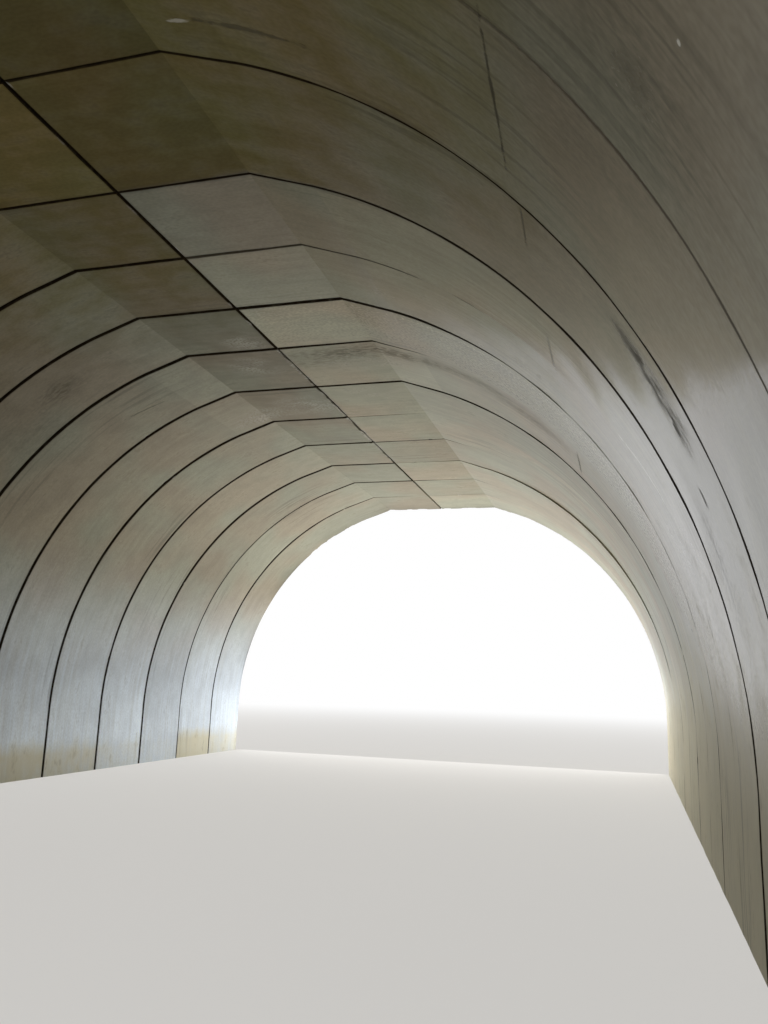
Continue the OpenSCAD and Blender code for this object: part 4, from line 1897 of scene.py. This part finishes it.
@dataclass
class Headwall:
    """The four panels over the far portal and their coping."""

    profile: BarrelProfile
    panel_material: bpy.types.Material
    coping_material: bpy.types.Material
    seat_clearance: float = 0.0003
    arris: float = 0.018
    drip: float = 0.012
    coping_chamfer: float = 0.030
    overhang: float = 0.060
    unevenness: float = 0.0015
    sag: float = 0.002
    chip_depth: float = 0.012
    chip_reach: float = 0.014
    panel_chips: int = 9
    coping_chips: int = 26
    outer_seed: int = 50
    crown_seed: int = 60
    coping_seed: int = 80
    sag_seed: int = 90

    def arch_x(self, z: Array) -> Array:
        """Works out how far the barrel's outer face is from the middle.

        Args:
            z: Heights up to the fold.

        Returns:
            half span + n on the leg, and past it arc's centre + sqrt(r^2 - height^2).
        """
        p = self.profile
        n = p.shell + self.seat_clearance
        r = p.radius + n
        up = np.clip((z - p.leg) / r, 0, 1)
        on_arc = p.arc_x + r * np.sqrt(1 - up**2)
        return np.where(z < p.leg, p.half_span + n, on_arc)

    def arch_z(self, x: Array) -> Array:
        """Works out how high the barrel's outer face is.

        Args:
            x: Distances from the middle.

        Returns:
            The crown's height, or past the fold the lower of arc and shoulder.
        """
        p = self.profile
        n = np.float64(p.shell + self.seat_clearance)
        r = p.radius + n
        on_arc = p.leg + np.sqrt(np.clip(r**2 - (x - p.arc_x) ** 2, 0, None))
        fold_x = p.half_flat + n * math.tan(p.fold / 2)
        on_shoulder = p.rise + n - (x - fold_x) * math.tan(p.fold)
        return np.where(x < fold_x, p.rise + n, np.minimum(on_arc, on_shoulder))

    def shell_of(self, node: str, rows: Array, inner: Array, outer: Array, side: Side, seed: int) -> Skin:
        """A panel as a tube whose loops go round its thickness.

        Args:
            node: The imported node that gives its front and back.
            rows: Places of the loops along the panel.
            inner: Where each loop starts, at the arch or the panel joint.
            outer: Where each loop ends, at the panel's free edge.
            side: The side of the barrel, for its chips and unevenness with the seed.
            seed: Seed of the right side's panel. The left's is the next.

        Returns:
            The skin: each loop goes over the front, round a chamfered arris, over the back and round again.
            Its points are place across, place through the wall, and place along, as x, y and z.
        """
        low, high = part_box(node)
        seed += side is Side.LEFT
        share = np.concatenate([[0.0, 0.02], np.linspace(0.08, 0.92, 9), [0.98, 1.0]])
        width = (outer - inner)[:, None]
        flat = inner[:, None] + self.arris + (width - 2 * self.arris) * share
        wave = np.minimum(Ripple(seed, 1.3).at(flat, rows[:, None]) * self.unevenness, 0)
        rng = np.random.default_rng(seed)
        bite = np.zeros(len(rows))
        for _ in range(self.panel_chips):
            off = (rows - rng.uniform(rows[0], rows[-1])) / rng.uniform(0.05, 0.12)
            bite = np.maximum(bite, np.clip(1 - off**2, 0, 1))
        far_bite = np.roll(bite, 7)
        front = np.full(flat.shape, high.y) - self.unevenness + wave
        back = np.full(flat.shape, low.y) + self.unevenness - wave
        front[:, 0] -= bite * self.chip_depth
        front[:, -1] -= far_bite * self.chip_depth
        depth = np.array([high.y - self.arris, (high.y + low.y) / 2, low.y + self.arris])
        through = np.broadcast_to(depth, (len(rows), 3))
        near_edge, far_edge = (np.broadcast_to(edge[:, None], through.shape) for edge in (inner, outer))
        across = np.concatenate([flat, far_edge, flat[:, ::-1], near_edge], 1)
        y = np.concatenate([front, through, back[:, ::-1], through[:, ::-1]], 1)
        along = np.broadcast_to(rows[:, None], across.shape)
        columns, loop = flat.shape[1], across.shape[1]
        chip = np.zeros(across.shape)
        chip[:, 0], chip[:, columns - 1] = bite, far_bite
        over, back_again = columns + 3, 2 * columns + 3
        corners = [0, columns - 1, columns, over - 1, over, back_again - 1, back_again, loop - 1]
        return Skin(
            np.stack([across, y, along], -1), tube_map(across + y, along), np.zeros(loop, int),
            crease_columns=corners, values={"chip": chip},
        )

    def outer_panel(self, side: Side) -> Skin:
        """Makes a panel beside the arch.

        Args:
            side: The side of the barrel.

        Returns:
            The skin, whose loops go across, from the arch or the panel joint to the free side.
        """
        node = f"headwall_{side.value}_outer_panel"
        low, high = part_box(node)
        near, far = sorted((abs(low.x), abs(high.x)))
        rows = np.unique(np.concatenate([np.linspace(low.z, high.z, 90), [self.profile.leg]]))
        inner = np.maximum(self.arch_x(rows), near)
        inner[rows > self.arch_z(np.array(near))] = near
        skin = self.shell_of(node, rows, inner, np.full(len(rows), far), side, self.outer_seed)
        skin.points = skin.points * [side.sign, 1, 1]
        return skin

    def crown_panel(self, side: Side) -> Skin:
        """Makes a panel over the crown.

        Args:
            side: The side of the barrel.

        Returns:
            The skin, whose loops go up, from the arch to the top.
        """
        node = f"headwall_{side.value}_crown_panel"
        low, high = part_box(node)
        near, far = sorted((abs(low.x), abs(high.x)))
        p = self.profile
        fold_x = p.half_flat + (p.shell + self.seat_clearance) * math.tan(p.fold / 2)
        rows = np.unique(np.concatenate([np.linspace(near, far, 44), [fold_x]]))
        top = np.full(len(rows), high.z)
        skin = self.shell_of(node, rows, self.arch_z(rows), top, side, self.crown_seed)
        skin.points = skin.points[..., ::-1] * [side.sign, 1, 1]
        return skin

    def coping(self, side: Side) -> Skin:
        """A length of coping: its section, with drip grooves and chamfers, carried along the headwall.

        Args:
            side: The side of the barrel.

        Returns:
            The skin, with chips along its upper edges.
        """
        low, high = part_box(f"headwall_{side.value}_coping")
        near, far = sorted((abs(low.x), abs(high.x)))
        width, tall = high.y - low.y, high.z - low.z
        c, d = self.coping_chamfer, self.drip
        groove = self.overhang / 2 - d / 2
        section = np.array([
            (0, 0.004), (0.004, 0), (groove, 0), (groove, d), (groove + d, d), (groove + d, 0),
            (width - groove - d, 0), (width - groove - d, d), (width - groove, d), (width - groove, 0),
            (width - 0.004, 0), (width, 0.004), (width, tall / 2), (width, tall - c), (width - c, tall),
            (width * 0.66, tall), (width / 2, tall), (width * 0.33, tall), (c, tall), (0, tall - c),
            (0, tall / 2),
        ])
        upper_edges = [13, 14, 18, 19]
        x = np.linspace(near, far, 120)
        points = np.broadcast_to(section, (len(x), *section.shape)).copy()
        rng = np.random.default_rng(self.coping_seed + (side is Side.LEFT))
        chip = np.zeros(points.shape[:2])
        for _ in range(self.coping_chips):
            bowl = np.clip(1 - ((x - rng.uniform(near, far)) / rng.uniform(0.07, 0.16)) ** 2, 0, 1)
            edge = int(rng.choice(upper_edges))
            chip[:, edge] = np.maximum(chip[:, edge], bowl)
        across, up = section[:, 0], section[:, 1]
        points[..., 0] += chip * self.chip_reach * np.where(across > width / 2, -1, 1)
        points[..., 1] -= chip * self.chip_depth
        sag = np.minimum(Ripple(self.sag_seed, 0.9).at(x[:, None], across[None, :] * 3), 0) * self.sag
        points[..., 1] += sag * (up > tall - 0.001)
        along = np.broadcast_to(x[:, None], points.shape[:2])
        measure = np.concatenate([[0], np.cumsum(np.hypot(*np.diff(section, axis=0).T))])
        place = np.stack([side.sign * along, low.y + points[..., 0], low.z + points[..., 1]], -1)
        return Skin(
            place, tube_map(np.broadcast_to(measure, points.shape[:2]), along), np.zeros(len(section), int),
            crease_columns=list(range(len(section))), values={"chip": chip},
        )

    def build(self) -> None:
        """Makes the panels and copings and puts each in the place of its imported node."""
        panels, coping = [self.panel_material], [self.coping_material]
        for side in Side:
            for part, skin, materials in (
                ("outer_panel", self.outer_panel(side), panels),
                ("crown_panel", self.crown_panel(side), panels),
                ("coping", self.coping(side), coping),
            ):
                node = f"headwall_{side.value}_{part}"
                stand_in(piece_from(f"{node}_cast", [skin], materials), node)


# Studio


@dataclass(frozen=True)
class SoftLamp:
    """A soft rectangular lamp: where its middle is, which way it shines, and how bright its face is."""

    name: str
    place: Place
    towards: Place
    width: float
    tall: float
    radiance: float

    def build(self) -> None:
        """Hangs the lamp, where neither the camera nor a shiny face sees it."""
        data = bpy.data.lights.new(self.name, "AREA")
        data.shape, data.size, data.size_y = "RECTANGLE", self.width, self.tall
        data.energy = self.radiance * self.width * self.tall * math.pi
        lamp = bpy.data.objects.new(self.name, data)
        bpy.context.scene.collection.objects.link(lamp)
        lamp.location = self.place
        lamp.rotation_euler = Vector(self.towards).to_track_quat("-Z", "Y").to_euler()
        lamp.visible_camera = lamp.visible_glossy = False


# Daylight from the far portal, and what the floor of the far half throws back
LAMPS = (
    SoftLamp("portal_lamp_0", (0, 11.62, 1.25), (0, -1, 0), 12.5, 2.5, 2.1),
    SoftLamp("portal_lamp_1", (0, 11.62, 3.55), (0, -1, 0), 11.6, 2.1, 1.8),
    SoftLamp("portal_lamp_2", (0, 11.62, 5.4), (0, -1, 0), 8.6, 1.6, 1.4),
    SoftLamp("portal_lamp_3", (0, 11.62, 6.6), (0, -1, 0), 5.4, 0.8, 1.2),
    SoftLamp("floor_lamp_middle", (0, 2.6, 0.05), (0, 0, 1), 11, 5.5, 0.30),
    SoftLamp("floor_lamp_far", (0, 8.4, 0.05), (0, 0, 1), 11, 5.5, 0.20),
)


@dataclass(frozen=True)
class Studio:
    """Camera, lamps, white surroundings and floor."""

    lens: float = 29.742
    sensor: float = 36.0
    sight: float = 600.0
    eye: Place = (5.4513, -13.4665, 2.1352)
    right: Place = (0.96112395, 0.27412134, 0.03313963)
    up: Place = (0.02353821, -0.20092408, 0.97932398)
    ahead: Place = (-0.27511215, 0.94047169, 0.19956527)
    dim_side: float = 0.60
    bright_side: float = 1.10
    floor_reach: float = 150.0

    def camera(self) -> None:
        """Stands the camera where the photographer stood."""
        data = bpy.data.cameras.new("photo_camera")
        data.sensor_width, data.lens, data.clip_end = self.sensor, self.lens, self.sight
        camera = bpy.data.objects.new("photo_camera", data)
        bpy.context.scene.collection.objects.link(camera)
        turn = Matrix((Vector(self.right), Vector(self.up), -Vector(self.ahead))).transposed().to_4x4()
        camera.matrix_world = Matrix.Translation(Vector(self.eye)) @ turn
        bpy.context.scene.camera = camera

    def surroundings(self) -> None:
        """Makes the white surroundings: soft light, a little stronger from the headwall's side."""
        world = bpy.data.worlds.new("studio")
        bpy.context.scene.world = world
        g = Graph(world)
        light, white = g.node("ShaderNodeBackground"), g.node("ShaderNodeBackground")
        along_barrel = g.split(g.place("Generated"))[1]
        g.put(light.inputs["Strength"], along_barrel.span(-0.4, 0.6, self.dim_side, self.bright_side))
        g.put(white.inputs["Color"], (1.0, 1.0, 1.0))
        g.end("ShaderNodeOutputWorld", g.seen(), light.outputs[0], white.outputs[0])

    def floor(self, material: bpy.types.Material) -> None:
        """Lays the plain pale floor under everything.

        Args:
            material: The floor's finish.
        """
        signs = ((-1, -1), (1, -1), (1, 1), (-1, 1))
        corners = [(x * self.floor_reach, y * self.floor_reach, 0) for x, y in signs]
        mesh = bpy.data.meshes.new("studio_floor")
        mesh.from_pydata(corners, [], [(0, 1, 2, 3)])
        mesh.materials.append(material)
        floor = bpy.data.objects.new("studio_floor", mesh)
        bpy.context.scene.collection.objects.link(floor)

    def build(self, floor_material: bpy.types.Material) -> None:
        """Sets up the whole studio.

        Args:
            floor_material: The floor's finish.
        """
        bpy.context.scene.view_settings.view_transform = "Standard"
        self.camera()
        for lamp in LAMPS:
            lamp.build()
        self.surroundings()
        self.floor(floor_material)


def main() -> None:
    """Builds the studio and the dressed pieces in order."""
    logging.basicConfig(level=logging.INFO, format="%(name)s: %(message)s", stream=sys.stdout)
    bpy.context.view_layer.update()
    profile = BarrelProfile()
    Studio().build(FloorPaint().build())
    soffit = SoffitConcrete(profile, dark_marks=DARK_MARKS, light_marks=LIGHT_MARKS).build()
    Barrel(profile, [soffit, EarthConcrete().build()]).build()
    Wraps(profile, WrapSheet().build()).build()
    Headwall(profile, PANEL_CONCRETE.build(), COPING_CONCRETE.build()).build()
    bpy.context.view_layer.update()


if __name__ == "__main__":
    main()
